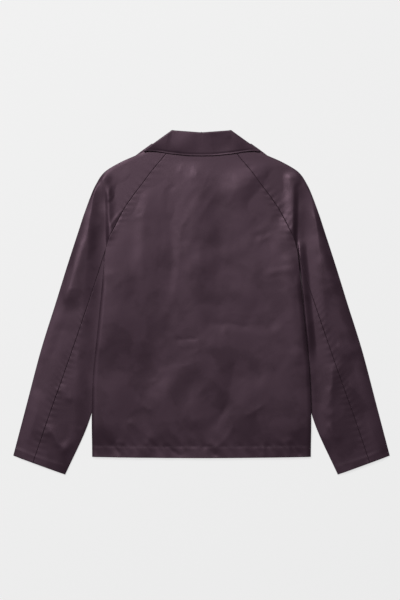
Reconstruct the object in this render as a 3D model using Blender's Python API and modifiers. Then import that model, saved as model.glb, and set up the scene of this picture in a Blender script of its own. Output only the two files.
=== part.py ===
"""A satin zip jacket laid out flat, back upward, with its collar folded down.

Metres, +Z up and +Y towards the collar. The origin is on the ground under the jacket's middle.
The two front panels, the sleeve fronts and the front halves of the collar lie on the ground.
The back panel, the two back pieces of each raglan sleeve and the back of the collar lie on them.
A panel is a grid between its seam lines, raised to the height of its layer and given its wall.
The sizes below are in millimetres, and MM turns them into metres.
"""

import math
from collections import namedtuple

import bmesh
import bpy
from mathutils import Vector

MM = 0.001
OBJECT_NAME = "zip_jacket"
LEFT, RIGHT = -1, 1
SIDE_NAMES = {LEFT: "left", RIGHT: "right"}

# Cloth walls and the air between pieces
CLOTH = 1.6
COLLAR_CLOTH = 1.6
SEAM_GAP = 0.3
RAGLAN_GAP = 0.45

# Body: the hem lies at -Y, the raglan seams run from the armpits up to the neck
HEM_Y = -327.0
HEM_CORNER_RISE = 2.5
ARMPIT_Y = 108.0
NECK_Y = 321.0
BACK_NECK_DIP = 6.0
FRONT_OPENING = 5.2
FRONT_NECK_Y = 240.0
FRONT_NECK_CORNER_X = 85.0
FRONT_NECK_REACH = 21.0
NECK_POINT_Y = 334.0
UNDER_SLEEVE_FROM = 0.03

# Layer heights: the lower layer rises over the collar's front and over the sleeves' inner edges
NECK_LIFT = 2.7
NECK_LIFT_FROM = 135.0
NECK_LIFT_RUN = 60.0
SIDE_LIFT = 5.0
SIDE_LIFT_FLAT = 13.0
SIDE_LIFT_RUN = 110.0
SIDE_LIFT_BELOW_ARMPIT = 4.0
SIDE_LIFT_TOP_RUN = 60.0
SIDE_LIFT_HEM_RUN = 75.0
UPPER_LIFT_TOP = 194.0
UPPER_LIFT_RUN = 150.0

# Loft of the upper layer over the lower one
LOFT = 3.4
LEAST_LOFT = 0.4
MOST_LOFT = 11.0
NECK_LEVEL = 0.9
EDGE_REACH = 28.0
SIDE_REACH = 9.0
SHOULDER_REACH = 0.35
SHOULDER_REACH_FROM = 190.0
SHOULDER_REACH_RUN = 50.0
ARMPIT_OPEN_FROM = 20.0
ARMPIT_OPEN_RUN = 70.0
SHOULDER_TIP_Y = 264.0
SHOULDER_TIP_X = 206.0
STEP_FADE = 60.0
VALLEY_FALL = 12.0
VALLEY_RISE = 36.0
LEFT_VALLEY_FLOOR = 2.0
RIGHT_VALLEY_FLOOR = 11.0
COLLAR_LOFT = 0.5
COLLAR_FLAT_Y = 300.0
COLLAR_FLAT_RUN = 40.0

# Grid of each panel
SIDE_ROWS = 20
RAGLAN_ROWS = 12
FRONT_RAGLAN_ROWS = 10
SLEEVE_ROWS = 18
BACK_COLUMNS = 28
FRONT_COLUMNS = 9
SLEEVE_COLUMNS = 9
UNDER_COLUMNS = 5
SLEEVE_FRONT_COLUMNS = 6
EDGE_CROWDING = 0.5

# Collar
COLLAR_COLUMNS = 28
COLLAR_FRONT_COLUMNS = 10
LEAF_ROWS = 5
FOLD_ROWS = 6
STAND_ROWS = 3
BACK_LEAF_Z = 8.7
BACK_STAND_Z = 5.7
COLLAR_END_RISE = 2.1
COLLAR_END_FROM = 0.7
FRONT_LEAF_Z = 0.8
FRONT_STAND_Z = 3.5
LEAF_CROWN = 1.2
LEAF_CROWN_LENGTH = 40.0
TURN_STEP = 0.03

# Zip
TAPE_THICKNESS = 0.8
TAPE_INNER_X = 3.0
TAPE_WIDTH = 12.0
TAPE_ROWS = 26
CHAIN_WIDTH = 2.4
CHAIN_HEIGHT = 2.0
CHAIN_GAP = 0.3
ZIP_BOTTOM_Y = -324.0
BOX_LENGTH = 12.0
BOX_WIDTH = 5.2
BOX_HEIGHT = 3.2
SLIDER_Y = 226.0
SLIDER_LENGTH = 12.0
SLIDER_WIDTH = 9.0
PLATE = 1.0
POST_WIDTH = 2.0
POST_LENGTH = 3.5
BRIDGE_WIDTH = 2.4
BRIDGE_SPAN = 7.6
BRIDGE_WALL = 0.7
PIVOT_CLEARANCE = 0.3
TAB_WALL = 1.0
TAB_WIDTH = 6.4
TAB_LENGTH = 24.0
TAB_WINDOW_WIDTH = 4.0
TAB_WINDOW_LENGTH = 4.6
TAB_CROSSBAR = 1.0
HARD_BEVEL = 0.3
BEVEL_STEPS = 2
SHARP_ANGLE = math.radians(50.0)

# Finishes: colour, roughness and metal share
Finish = namedtuple("Finish", "name colour roughness metallic")
SATIN = Finish("satin", (0.052, 0.031, 0.042), 0.42, 0.0)
TAPE = Finish("zip_tape", (0.030, 0.019, 0.025), 0.8, 0.0)
METAL = Finish("zip_metal", (0.42, 0.41, 0.42), 0.35, 1.0)

SidePoint = namedtuple("SidePoint", "y half_width")
TORSO_SIDE = (
    SidePoint(HEM_Y, 230.0),
    SidePoint(-226.0, 230.5),
    SidePoint(-142.0, 227.0),
    SidePoint(-58.0, 218.5),
    SidePoint(ARMPIT_Y, 202.0),
)
RAGLAN_SEAM = (
    SidePoint(ARMPIT_Y, 202.0),
    SidePoint(135.0, 194.5),
    SidePoint(154.0, 185.0),
    SidePoint(194.0, 164.0),
    SidePoint(219.5, 147.0),
    SidePoint(250.0, 124.0),
    SidePoint(277.0, 104.0),
    SidePoint(303.0, 82.0),
    SidePoint(NECK_Y, 68.0),
)

# The shoulder line opposite each height of the raglan seam
ShoulderPoint = namedtuple("ShoulderPoint", "seam_y x y")
SHOULDER = (
    ShoulderPoint(ARMPIT_Y, 249.0, 180.0),
    ShoulderPoint(152.0, 234.0, 221.0),
    ShoulderPoint(192.0, 222.0, 248.0),
    ShoulderPoint(226.0, 204.0, 274.0),
    ShoulderPoint(256.0, 172.0, 294.0),
    ShoulderPoint(290.0, 133.0, 311.5),
    ShoulderPoint(NECK_Y, 84.0, NECK_POINT_Y),
)

# The sleeve below the armpit: its back seam, outer edge and inner edge from the armpit (0) to the cuff (1)
SleevePoint = namedtuple("SleevePoint", "down seam_x seam_y outer_x outer_y edge_x edge_y")
SLEEVE = (
    SleevePoint(0.00, 202.5, 108.0, 249.0, 180.0, 205.0, 101.0),
    SleevePoint(0.18, 229.0, 25.0, 280.0, 85.0, 209.0, 10.0),
    SleevePoint(0.37, 257.0, -58.0, 307.0, -2.0, 212.0, -78.0),
    SleevePoint(0.58, 290.0, -153.0, 338.0, -101.0, 218.0, -172.0),
    SleevePoint(0.79, 322.0, -243.0, 368.0, -215.0, 239.0, -257.0),
    SleevePoint(1.00, 354.0, -337.4, 396.0, -322.0, 286.7, -362.0),
)

# The collar from the centre back (0) to the end of the leaf over the shoulder (1)
CollarPoint = namedtuple("CollarPoint", "along fold_x fold_y leaf_x leaf_y stand_x stand_y")
COLLAR_BACK = (
    CollarPoint(0.00, 0.0, 357.0, 0.0, 307.6, 0.0, 315.9),
    CollarPoint(0.25, 31.0, 359.3, 30.0, 308.4, 30.2, 317.4),
    CollarPoint(0.46, 57.2, 361.2, 60.0, 311.4, 59.5, 320.8),
    CollarPoint(0.50, 62.0, 361.8, 66.0, 312.2, 65.2, 322.2),
    CollarPoint(0.54, 66.4, 358.7, 71.5, 312.9, 70.3, 325.4),
    CollarPoint(0.65, 78.0, 350.5, 84.0, 315.0, 81.7, 334.4),
    CollarPoint(0.82, 99.0, 335.5, 101.0, 317.0, 97.2, 331.8),
    CollarPoint(0.92, 112.0, 326.4, 111.5, 317.6, 110.2, 323.2),
    CollarPoint(1.00, 122.5, 319.3, 119.8, 316.2, 120.6, 316.7),
)

# A front half of the collar from the shoulder (0) to the zip (1)
COLLAR_FRONT = (
    CollarPoint(0.00, 66.0, 353.0, 112.0, 317.0, 81.5, 339.0),
    CollarPoint(0.30, 72.0, 318.0, 108.0, 272.0, 90.0, 294.5),
    CollarPoint(0.55, 58.0, 288.0, 90.0, 236.0, 71.0, 267.0),
    CollarPoint(0.80, 32.0, 268.0, 70.0, 206.0, 43.0, 249.8),
    CollarPoint(1.00, 6.0, 262.0, 50.0, 197.0, 9.5, 241.8),
)

# The largest folds as ridges (+) and troughs (-) on a line from one end to the other
Fold = namedtuple("Fold", "x0 y0 x1 y1 width height")
FOLDS = (
    Fold(-150.0, 243.0, -142.0, 19.0, 24.0, -1.0),
    Fold(-112.0, 250.0, -110.0, 30.0, 22.0, 0.6),
    Fold(-70.0, 290.0, -68.0, -60.0, 30.0, -1.5),
    Fold(-6.0, 285.0, -8.0, 100.0, 50.0, 1.5),
    Fold(0.0, 236.0, 0.0, 212.0, 32.0, 1.2),
    Fold(-8.0, 90.0, -10.0, -330.0, 18.0, 0.6),
    Fold(38.0, 280.0, 36.0, -30.0, 30.0, -1.5),
    Fold(100.0, 235.0, 98.0, 20.0, 26.0, 0.9),
    Fold(62.0, 236.0, 112.0, 288.0, 38.0, 1.5),
    Fold(130.0, 190.0, 176.0, 236.0, 40.0, -1.6),
    Fold(20.0, -44.0, 140.0, -46.0, 14.0, -0.5),
    Fold(-170.0, -150.0, -90.0, -120.0, 55.0, -2.0),
    Fold(-150.0, 50.0, -112.0, 20.0, 36.0, 0.4),
    Fold(30.0, -100.0, 10.0, -240.0, 26.0, 0.8),
    Fold(-100.0, -140.0, -126.0, -230.0, 26.0, -1.0),
    Fold(76.0, -160.0, 60.0, -215.0, 20.0, -1.0),
    Fold(184.0, 90.0, 203.0, -110.0, 16.0, 1.2),
    Fold(-199.0, 262.0, -197.0, 140.0, 11.0, 2.2),
    Fold(190.0, 258.0, 191.0, 150.0, 15.0, 3.2),
    Fold(-224.0, 232.0, -270.0, 30.0, 25.0, 3.4),
    Fold(252.0, 178.0, 272.0, 40.0, 20.0, 2.2),
    Fold(-300.0, -60.0, -345.0, -180.0, 18.0, -1.2),
    Fold(-320.0, -266.0, -288.0, -304.0, 13.0, 1.1),
    Fold(282.0, -140.0, 262.0, -228.0, 13.0, 1.3),
    Fold(318.0, -120.0, 350.0, -240.0, 16.0, -1.0),
)


def clamp(value):
    """A value held between 0 and 1."""
    return max(0.0, min(1.0, value))


def ease(value):
    """A smooth step from 0 to 1."""
    held = clamp(value)
    return held * held * (3.0 - 2.0 * held)


def mix(start, end, share):
    """The value at a share of the way from start to end."""
    return start + (end - start) * share


def curve_at(rows, column, at):
    """A column of a table at a place in its first column, on a smooth curve through the rows."""
    keys = [row[0] for row in rows]
    values = [getattr(row, column) for row in rows]
    last = len(rows) - 1
    slopes = []
    for i in range(len(rows)):
        before = max(i - 1, 0)
        after = min(i + 1, last)
        slopes.append((values[after] - values[before]) / (keys[after] - keys[before]))
    i = 0
    while i < last - 1 and at > keys[i + 1]:
        i += 1
    span = keys[i + 1] - keys[i]
    t = (at - keys[i]) / span
    start = values[i] * (1.0 + 2.0 * t) * (1.0 - t) ** 2 + slopes[i] * span * t * (1.0 - t) ** 2
    end = values[i + 1] * t * t * (3.0 - 2.0 * t) - slopes[i + 1] * span * t * t * (1.0 - t)
    return start + end


def torso_half_width(y):
    """Half the body's width at a height: its side below the armpit, the raglan seam above."""
    if y <= ARMPIT_Y:
        return curve_at(TORSO_SIDE, "half_width", max(y, HEM_Y))
    return curve_at(RAGLAN_SEAM, "half_width", min(y, NECK_Y))


def neck_lift(y):
    """Height of the lower layer over the ground, raised by the collar's front halves."""
    return NECK_LIFT * ease((y - NECK_LIFT_FROM) / NECK_LIFT_RUN)


def side_lift(x, y):
    """Rise of the body's side over the sleeve's inner edge, which is tucked under it."""
    inside = torso_half_width(y) - abs(x)
    across = 1.0 - ease((inside - SIDE_LIFT_FLAT) / SIDE_LIFT_RUN)
    below_armpit = ease((ARMPIT_Y - SIDE_LIFT_BELOW_ARMPIT - y) / SIDE_LIFT_TOP_RUN)
    above_hem = ease((y - HEM_Y) / SIDE_LIFT_HEM_RUN)
    return SIDE_LIFT * across * below_armpit * above_hem


def front_underside(x, y):
    """Height of a front panel's outer face, which lies on the ground."""
    return neck_lift(y) + side_lift(x, y)


def upper_lift(x, y):
    """Rise of the upper layer over the sleeves' inner edges, which fades well above the armpits."""
    inside = torso_half_width(min(y, ARMPIT_Y)) - abs(x)
    across = 1.0 - ease((inside - SIDE_LIFT_FLAT) / SIDE_LIFT_RUN)
    above = ease((UPPER_LIFT_TOP - y) / UPPER_LIFT_RUN)
    return SIDE_LIFT * across * above * ease((y - HEM_Y) / SIDE_LIFT_HEM_RUN)


def fold_height(x, y):
    """All the folds' heights added up at one place."""
    total = 0.0
    for fold in FOLDS:
        run_x = fold.x1 - fold.x0
        run_y = fold.y1 - fold.y0
        share = clamp(((x - fold.x0) * run_x + (y - fold.y0) * run_y) / (run_x**2 + run_y**2))
        away = math.hypot(x - fold.x0 - run_x * share, y - fold.y0 - run_y * share)
        total += fold.height * math.exp(-((away / fold.width) ** 2))
    return total


def loft(x, y, swell):
    """Air under the upper layer: none where the swell is 0, and pressed flat under the collar."""
    level = LOFT - NECK_LEVEL * neck_lift(y)
    free = max(LEAST_LOFT, min(MOST_LOFT, level + fold_height(x, y)))
    height = mix(COLLAR_LOFT, free, ease((COLLAR_FLAT_Y - y) / COLLAR_FLAT_RUN))
    return swell * height


def edge_swell(distance):
    """Share of the loft at a distance from a folded edge."""
    return 1.0 - (1.0 - clamp(distance / EDGE_REACH)) ** 2


def body_swell(x, y):
    """Share of the loft in the body: closed along its side, open towards the armpit and above."""
    inside = torso_half_width(min(y, ARMPIT_Y)) - abs(x)
    side = edge_swell(inside * EDGE_REACH / SIDE_REACH)
    return mix(side, 1.0, ease((y - ARMPIT_OPEN_FROM) / ARMPIT_OPEN_RUN))


def beyond_body(x, y):
    """Distance outside the body's side and the line on from there to the shoulder tip."""
    up = clamp((y - ARMPIT_Y) / (SHOULDER_TIP_Y - ARMPIT_Y))
    return abs(x) - mix(torso_half_width(min(y, ARMPIT_Y)), SHOULDER_TIP_X, up)


def valley_fall(x, y):
    """Share of the body's height that is left in a sleeve, which falls into the valley beside it."""
    return ease(-beyond_body(x, y) / VALLEY_FALL) if y > ARMPIT_Y else 0.0


def sleeve_swell(x, y):
    """Share of the loft in a sleeve, with a valley beside the body and up to the shoulder tip."""
    floor = mix(LEFT_VALLEY_FLOOR, RIGHT_VALLEY_FLOOR, clamp(x))
    rise = ease((beyond_body(x, y) - floor) / VALLEY_RISE)
    return mix(1.0, max(rise, valley_fall(x, y)), ease((SHOULDER_TIP_Y - y) / STEP_FADE))


def link(obj, material, collection):
    """Puts a finished piece in its collection with its material, under the jacket's empty."""
    obj.data.materials.append(material)
    collection.objects.link(obj)
    obj.parent = collection.objects.get(OBJECT_NAME)
    return obj


def grid_mesh(name, columns, rows, place):
    """A grid of columns and rows, each corner moved to the place given for its two shares."""
    bm = bmesh.new()
    bmesh.ops.create_grid(bm, x_segments=columns, y_segments=rows, size=0.5)
    for vert in bm.verts:
        vert.co = Vector(place(clamp(vert.co.x + 0.5), clamp(vert.co.y + 0.5))) * MM
    mesh = bpy.data.meshes.new(name)
    bm.to_mesh(mesh)
    bm.free()
    return mesh


def panel(name, columns, rows, place, thickness):
    """A flat-cut piece: a grid on its underside, extruded straight up by its thickness."""
    mesh = grid_mesh(name, columns, rows, place)
    bm = bmesh.new()
    bm.from_mesh(mesh)
    raised = bmesh.ops.extrude_face_region(bm, geom=bm.faces[:])
    top = [item for item in raised["geom"] if isinstance(item, bmesh.types.BMVert)]
    bmesh.ops.translate(bm, verts=top, vec=(0.0, 0.0, thickness * MM))
    bmesh.ops.recalc_face_normals(bm, faces=bm.faces[:])
    bm.to_mesh(mesh)
    bm.free()
    mesh.shade_smooth()
    mesh.set_sharp_from_angle(angle=SHARP_ANGLE)
    return bpy.data.objects.new(name, mesh)


def crowded(share):
    """A share across a panel, with the columns crowded towards both edges."""
    turned = math.sin((share - 0.5) * math.pi) * 0.5 + 0.5
    return mix(share, turned, EDGE_CROWDING)


def body_row_y(share):
    """Height of a body row: even steps up the side, then even steps up the raglan seam."""
    row = share * (SIDE_ROWS + RAGLAN_ROWS)
    if row <= SIDE_ROWS:
        return mix(HEM_Y, ARMPIT_Y, row / SIDE_ROWS)
    return mix(ARMPIT_Y, NECK_Y, (row - SIDE_ROWS) / RAGLAN_ROWS)


def back_point(across, up):
    """A point of the back panel's underside."""
    row_y = body_row_y(up)
    sideways = crowded(across) * 2.0 - 1.0
    x = sideways * torso_half_width(row_y)
    hem = HEM_CORNER_RISE * sideways**2 * clamp(1.0 - (row_y - HEM_Y) / SIDE_LIFT_HEM_RUN)
    dip = BACK_NECK_DIP * (1.0 - sideways**2) * ease((row_y - COLLAR_FLAT_Y) / (NECK_Y - COLLAR_FLAT_Y))
    y = row_y + hem - dip
    rest = neck_lift(row_y) + upper_lift(x, row_y) + CLOTH + SEAM_GAP
    return x, y, rest + loft(x, row_y, body_swell(x, row_y))


def front_point(side, out, up):
    """A point of a front panel's underside, from the zip opening out to the side."""
    row = up * (SIDE_ROWS + FRONT_RAGLAN_ROWS)
    if row <= SIDE_ROWS:
        seam_y = mix(HEM_Y, ARMPIT_Y, row / SIDE_ROWS)
        centre_y = seam_y
    else:
        share = (row - SIDE_ROWS) / RAGLAN_ROWS
        seam_y = mix(ARMPIT_Y, NECK_Y, share)
        centre_y = mix(ARMPIT_Y, FRONT_NECK_Y, (row - SIDE_ROWS) / FRONT_RAGLAN_ROWS)
    x = mix(FRONT_OPENING, torso_half_width(seam_y), out)
    hem = HEM_CORNER_RISE * out**2 * clamp(1.0 - (seam_y - HEM_Y) / SIDE_LIFT_HEM_RUN)
    y = mix(centre_y, seam_y, out**2) + hem
    return side * x, y, front_underside(x, y - hem)


def raglan_row_y(share):
    """Height on the raglan seam, from the neck (0) down to the armpit (1)."""
    return mix(NECK_Y, ARMPIT_Y, share)


def sleeve_row(share, lower_column):
    """The two ends of a sleeve row, from the neck down to the cuff.

    The inner end follows the raglan seam and then the named line of the sleeve's lower table.
    """
    row = share * (RAGLAN_ROWS + SLEEVE_ROWS)
    if row <= RAGLAN_ROWS:
        seam_y = raglan_row_y(row / RAGLAN_ROWS)
        inner = Vector((torso_half_width(seam_y) + RAGLAN_GAP, seam_y))
        outer = Vector((curve_at(SHOULDER, "x", seam_y), curve_at(SHOULDER, "y", seam_y)))
        return inner, outer
    down = (row - RAGLAN_ROWS) / SLEEVE_ROWS
    return sleeve_line(lower_column, down), sleeve_line("outer", down)


def sleeve_line(name, down):
    """A point of the sleeve's back seam, outer edge or inner edge below the armpit."""
    return Vector((curve_at(SLEEVE, name + "_x", down), curve_at(SLEEVE, name + "_y", down)))


def sleeve_upper_z(x, y, to_edge):
    """Height of a sleeve's upper layer, flattened towards the body's side and its own edges."""
    reach = mix(1.0, SHOULDER_REACH, ease((y - SHOULDER_REACH_FROM) / SHOULDER_REACH_RUN))
    swell = min(edge_swell(to_edge / reach), sleeve_swell(x, y))
    lift = neck_lift(y) + upper_lift(x, y) * valley_fall(x, y)
    return lift + CLOTH + SEAM_GAP + loft(x, y, swell)


def sleeve_back_point(side, across, down):
    """A point of the sleeve's outer back piece, from its seams across to the outer edge."""
    inner, outer = sleeve_row(down, "seam")
    at = inner.lerp(outer, crowded(across))
    x = side * at.x
    return x, at.y, sleeve_upper_z(x, at.y, (outer - at).length)


def sleeve_under_point(side, across, down):
    """A point of the under-sleeve, from the inner edge across to the back seam."""
    lower = mix(UNDER_SLEEVE_FROM, 1.0, down)
    edge = sleeve_line("edge", lower)
    seam = sleeve_line("seam", lower)
    span = seam - edge
    at = edge + span * across * (1.0 - SEAM_GAP / span.length)
    x = side * at.x
    return x, at.y, sleeve_upper_z(x, at.y, (at - edge).length)


def sleeve_front_point(side, across, down):
    """A point of the sleeve's front, flat on the ground from the inner to the outer edge."""
    inner, outer = sleeve_row(down, "edge")
    row = down * (RAGLAN_ROWS + SLEEVE_ROWS)
    neck_rows = RAGLAN_ROWS - FRONT_RAGLAN_ROWS
    if row < neck_rows:
        corner = Vector((FRONT_NECK_CORNER_X, NECK_POINT_Y))
        seam_y = raglan_row_y(neck_rows / RAGLAN_ROWS)
        seam_end = Vector((torso_half_width(seam_y) + RAGLAN_GAP, seam_y))
        inner = corner.lerp(seam_end, row / neck_rows)
        outer = outer + Vector((FRONT_NECK_REACH, 0.0)) * (1.0 - row / neck_rows)
    at = inner.lerp(outer, across)
    return side * at.x, at.y, neck_lift(at.y)


def collar_section(at, leaf_z, stand_z, share):
    """A point of the collar's middle surface: leaf edge, up to the fold, down to the neck seam."""
    fold, leaf, stand, outward = at
    radius = abs(leaf_z - stand_z) / 2.0
    centre = fold - outward * (radius + COLLAR_CLOTH / 2.0)
    row = share * (LEAF_ROWS + FOLD_ROWS + STAND_ROWS)
    if row <= LEAF_ROWS:
        up = row / LEAF_ROWS
        length = clamp((centre - leaf).length / LEAF_CROWN_LENGTH)
        crown = LEAF_CROWN * length * math.sin(up * math.pi) * clamp((leaf_z - stand_z) / radius)
        flat = leaf.lerp(centre, up)
        return flat.x, flat.y, leaf_z + crown
    if row < LEAF_ROWS + FOLD_ROWS:
        turn = math.pi * (row - LEAF_ROWS) / FOLD_ROWS
        flat = centre + outward * radius * math.sin(turn)
        return flat.x, flat.y, mix(stand_z, leaf_z, 0.5 + 0.5 * math.cos(turn))
    flat = centre.lerp(stand, (row - LEAF_ROWS - FOLD_ROWS) / STAND_ROWS)
    return flat.x, flat.y, stand_z


def collar_ends(rows, along, side):
    """The fold, leaf edge and stand edge of the collar at a place along it, and the way out of the fold."""
    before = collar_line(rows, "fold", max(along - TURN_STEP, 0.0), side)
    after = collar_line(rows, "fold", min(along + TURN_STEP, 1.0), side)
    fold, leaf, stand = [collar_line(rows, line, along, side) for line in ("fold", "leaf", "stand")]
    outward = (after - before).orthogonal().normalized()
    if outward.dot(fold - leaf) < 0.0:
        outward.negate()
    return fold, leaf, stand, outward


def collar_line(rows, name, along, side):
    """A point of one of the collar's lines."""
    return Vector((side * curve_at(rows, name + "_x", along), curve_at(rows, name + "_y", along)))


def collar_piece(name, columns, place):
    """A folded length of collar: its middle surface with an even wall on both sides."""
    mesh = grid_mesh(name, columns, LEAF_ROWS + FOLD_ROWS + STAND_ROWS, place)
    mesh.shade_smooth()
    obj = bpy.data.objects.new(name, mesh)
    wall = obj.modifiers.new("wall", "SOLIDIFY")
    wall.thickness = COLLAR_CLOTH * MM
    wall.offset = 0.0
    return obj


def zip_base(y):
    """Height of the tape's outer face, which lies on the inside of the front panels."""
    return neck_lift(y) + CLOTH + SEAM_GAP


def tape_point(side, out, up):
    """A point of a zip tape's outer face."""
    y = mix(ZIP_BOTTOM_Y, FRONT_NECK_Y, up)
    return side * (TAPE_INNER_X + TAPE_WIDTH * out), y, zip_base(y)


def chain_point(side, out, up):
    """A point of the underside of one row of teeth, ending inside the slider."""
    y = mix(ZIP_BOTTOM_Y + BOX_LENGTH + SEAM_GAP, SLIDER_Y, up)
    z = zip_base(y) + TAPE_THICKNESS / 2.0 - CHAIN_HEIGHT / 2.0
    return side * (CHAIN_GAP / 2.0 + CHAIN_WIDTH * out), y, z


def box_object(name, low, high, collection):
    """A block between two corners, made from a cube."""
    bm = bmesh.new()
    bmesh.ops.create_cube(bm, size=1.0)
    low = Vector(low)
    high = Vector(high)
    for vert in bm.verts:
        share = vert.co + Vector((0.5, 0.5, 0.5))
        vert.co = Vector([mix(low[i], high[i], share[i]) for i in range(3)]) * MM
    mesh = bpy.data.meshes.new(name)
    bm.to_mesh(mesh)
    bm.free()
    obj = bpy.data.objects.new(name, mesh)
    collection.objects.link(obj)
    return obj


def as_tool(obj):
    """Marks a block as one that only cuts or joins another."""
    obj.hide_render = True
    obj.display_type = "WIRE"
    return obj


def add_boolean(obj, tool, operation):
    """Joins a tool to a block, or cuts it away."""
    modifier = obj.modifiers.new(tool.name, "BOOLEAN")
    modifier.operation = operation
    modifier.solver = "EXACT"
    modifier.object = tool


def add_bevel(obj):
    """Takes the sharp edges off a hard piece."""
    bevel = obj.modifiers.new("edges", "BEVEL")
    bevel.width = HARD_BEVEL * MM
    bevel.segments = BEVEL_STEPS
    bevel.limit_method = "ANGLE"


def slider_heights():
    """Heights of the slider's plates, pivot and bridge, from the chain that it rides on."""
    chain_low = zip_base(SLIDER_Y) + TAPE_THICKNESS / 2.0 - CHAIN_HEIGHT / 2.0
    outer_plate = chain_low - SEAM_GAP - PLATE
    pivot = outer_plate - PIVOT_CLEARANCE - TAB_WALL / 2.0
    bridge = pivot - TAB_WALL / 2.0 - PIVOT_CLEARANCE - BRIDGE_WALL
    inner_plate = chain_low + CHAIN_HEIGHT + SEAM_GAP
    return outer_plate, pivot, bridge, inner_plate


def make_slider(collection, tools, metal):
    """Two plates round the teeth, a post between them and a bridge that holds the tab."""
    outer_plate, _, bridge, inner_plate = slider_heights()
    half = SLIDER_WIDTH / 2.0
    post = POST_WIDTH / 2.0
    arch = BRIDGE_WIDTH / 2.0
    low_y = SLIDER_Y - SLIDER_LENGTH / 2.0
    high_y = SLIDER_Y + SLIDER_LENGTH / 2.0
    bridge_low = SLIDER_Y - BRIDGE_SPAN / 2.0
    bridge_high = SLIDER_Y + BRIDGE_SPAN / 2.0
    overlap = PLATE / 2.0
    leg_z = bridge + BRIDGE_WALL / 2.0
    leg_top = outer_plate + overlap
    plate_top = outer_plate + PLATE
    slider = box_object("zip_slider", (-half, low_y, outer_plate), (half, high_y, plate_top), collection)
    joined = [
        ("inner_plate", (-half, low_y, inner_plate), (half, high_y, inner_plate + PLATE)),
        ("post", (-post, high_y - POST_LENGTH, leg_top), (post, high_y - overlap, inner_plate + overlap)),
        ("bridge", (-arch, bridge_low, bridge), (arch, bridge_high, bridge + BRIDGE_WALL)),
        ("bridge_leg_low", (-arch, bridge_low, leg_z), (arch, bridge_low + BRIDGE_WALL, leg_top)),
        ("bridge_leg_high", (-arch, bridge_high - BRIDGE_WALL, leg_z), (arch, bridge_high, leg_top)),
    ]
    for name, low, high in joined:
        add_boolean(slider, as_tool(box_object(name, low, high, tools)), "UNION")
    slider.data.materials.append(metal)
    slider.parent = collection.objects[OBJECT_NAME]


def make_pull_tab(collection, tools, metal):
    """A flat tab with a window at its top, whose crossbar turns under the slider's bridge."""
    _, pivot, _, _ = slider_heights()
    half = TAB_WIDTH / 2.0
    wall = TAB_WALL / 2.0
    top = TAB_CROSSBAR / 2.0
    tab = box_object("zip_pull_tab", (-half, top - TAB_LENGTH, -wall), (half, top, wall), collection)
    edge = TAB_WINDOW_WIDTH / 2.0
    window_low = (-edge, -top - TAB_WINDOW_LENGTH, -TAB_WALL)
    window = box_object("tab_window", window_low, (edge, -top, TAB_WALL), tools)
    add_boolean(tab, as_tool(window), "DIFFERENCE")
    add_bevel(tab)
    tab.data.materials.append(metal)
    tab.parent = collection.objects[OBJECT_NAME]
    tab.location = Vector((0.0, SLIDER_Y, pivot)) * MM
    window.parent = tab


def make_bottom_box(collection, metal):
    """The box at the foot of the zip that holds the pin of the other side."""
    middle = zip_base(ZIP_BOTTOM_Y) + TAPE_THICKNESS / 2.0
    half = BOX_WIDTH / 2.0
    rise = BOX_HEIGHT / 2.0
    low = (-half, ZIP_BOTTOM_Y, middle - rise)
    high = (half, ZIP_BOTTOM_Y + BOX_LENGTH, middle + rise)
    box = box_object("zip_bottom_box", low, high, collection)
    add_bevel(box)
    box.data.materials.append(metal)
    box.parent = collection.objects[OBJECT_NAME]


def make_material(finish):
    """A plain finish for one kind of piece."""
    material = bpy.data.materials.new(finish.name)
    material.use_nodes = True
    shader = material.node_tree.nodes["Principled BSDF"]
    shader.inputs["Base Color"].default_value = (*finish.colour, 1.0)
    shader.inputs["Roughness"].default_value = finish.roughness
    shader.inputs["Metallic"].default_value = finish.metallic
    return material


def make_side(side, collection, satin, tape, metal):
    """All the pieces that the jacket has once on each side."""
    name = SIDE_NAMES[side]
    body_rows = SIDE_ROWS + FRONT_RAGLAN_ROWS
    sleeve_rows = RAGLAN_ROWS + SLEEVE_ROWS
    pieces = [
        (f"front_{name}", FRONT_COLUMNS, body_rows, front_point, CLOTH, satin),
        (f"sleeve_back_{name}", SLEEVE_COLUMNS, sleeve_rows, sleeve_back_point, CLOTH, satin),
        (f"sleeve_under_{name}", UNDER_COLUMNS, SLEEVE_ROWS, sleeve_under_point, CLOTH, satin),
        (f"sleeve_front_{name}", SLEEVE_FRONT_COLUMNS, sleeve_rows, sleeve_front_point, CLOTH, satin),
        (f"zip_tape_{name}", 1, TAPE_ROWS, tape_point, TAPE_THICKNESS, tape),
        (f"zip_teeth_{name}", 1, TAPE_ROWS, chain_point, CHAIN_HEIGHT, metal),
    ]
    for piece, columns, rows, place, thickness, material in pieces:
        made = panel(piece, columns, rows, lambda u, v, place=place: place(side, u, v), thickness)
        link(made, material, collection)

    def collar_front_point(along, share):
        return collar_section(collar_ends(COLLAR_FRONT, along, side), FRONT_LEAF_Z, FRONT_STAND_Z, share)

    link(collar_piece(f"collar_front_{name}", COLLAR_FRONT_COLUMNS, collar_front_point), satin, collection)


def collar_back_point(across, share):
    """A point of the collar's back length, from the left end of the leaf to the right end."""
    sideways = across * 2.0 - 1.0
    ends = collar_ends(COLLAR_BACK, abs(sideways), math.copysign(1.0, sideways))
    rise = COLLAR_END_RISE * ease((abs(sideways) - COLLAR_END_FROM) / (1.0 - COLLAR_END_FROM))
    return collar_section(ends, BACK_LEAF_Z + rise, BACK_STAND_Z + rise, share)


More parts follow.
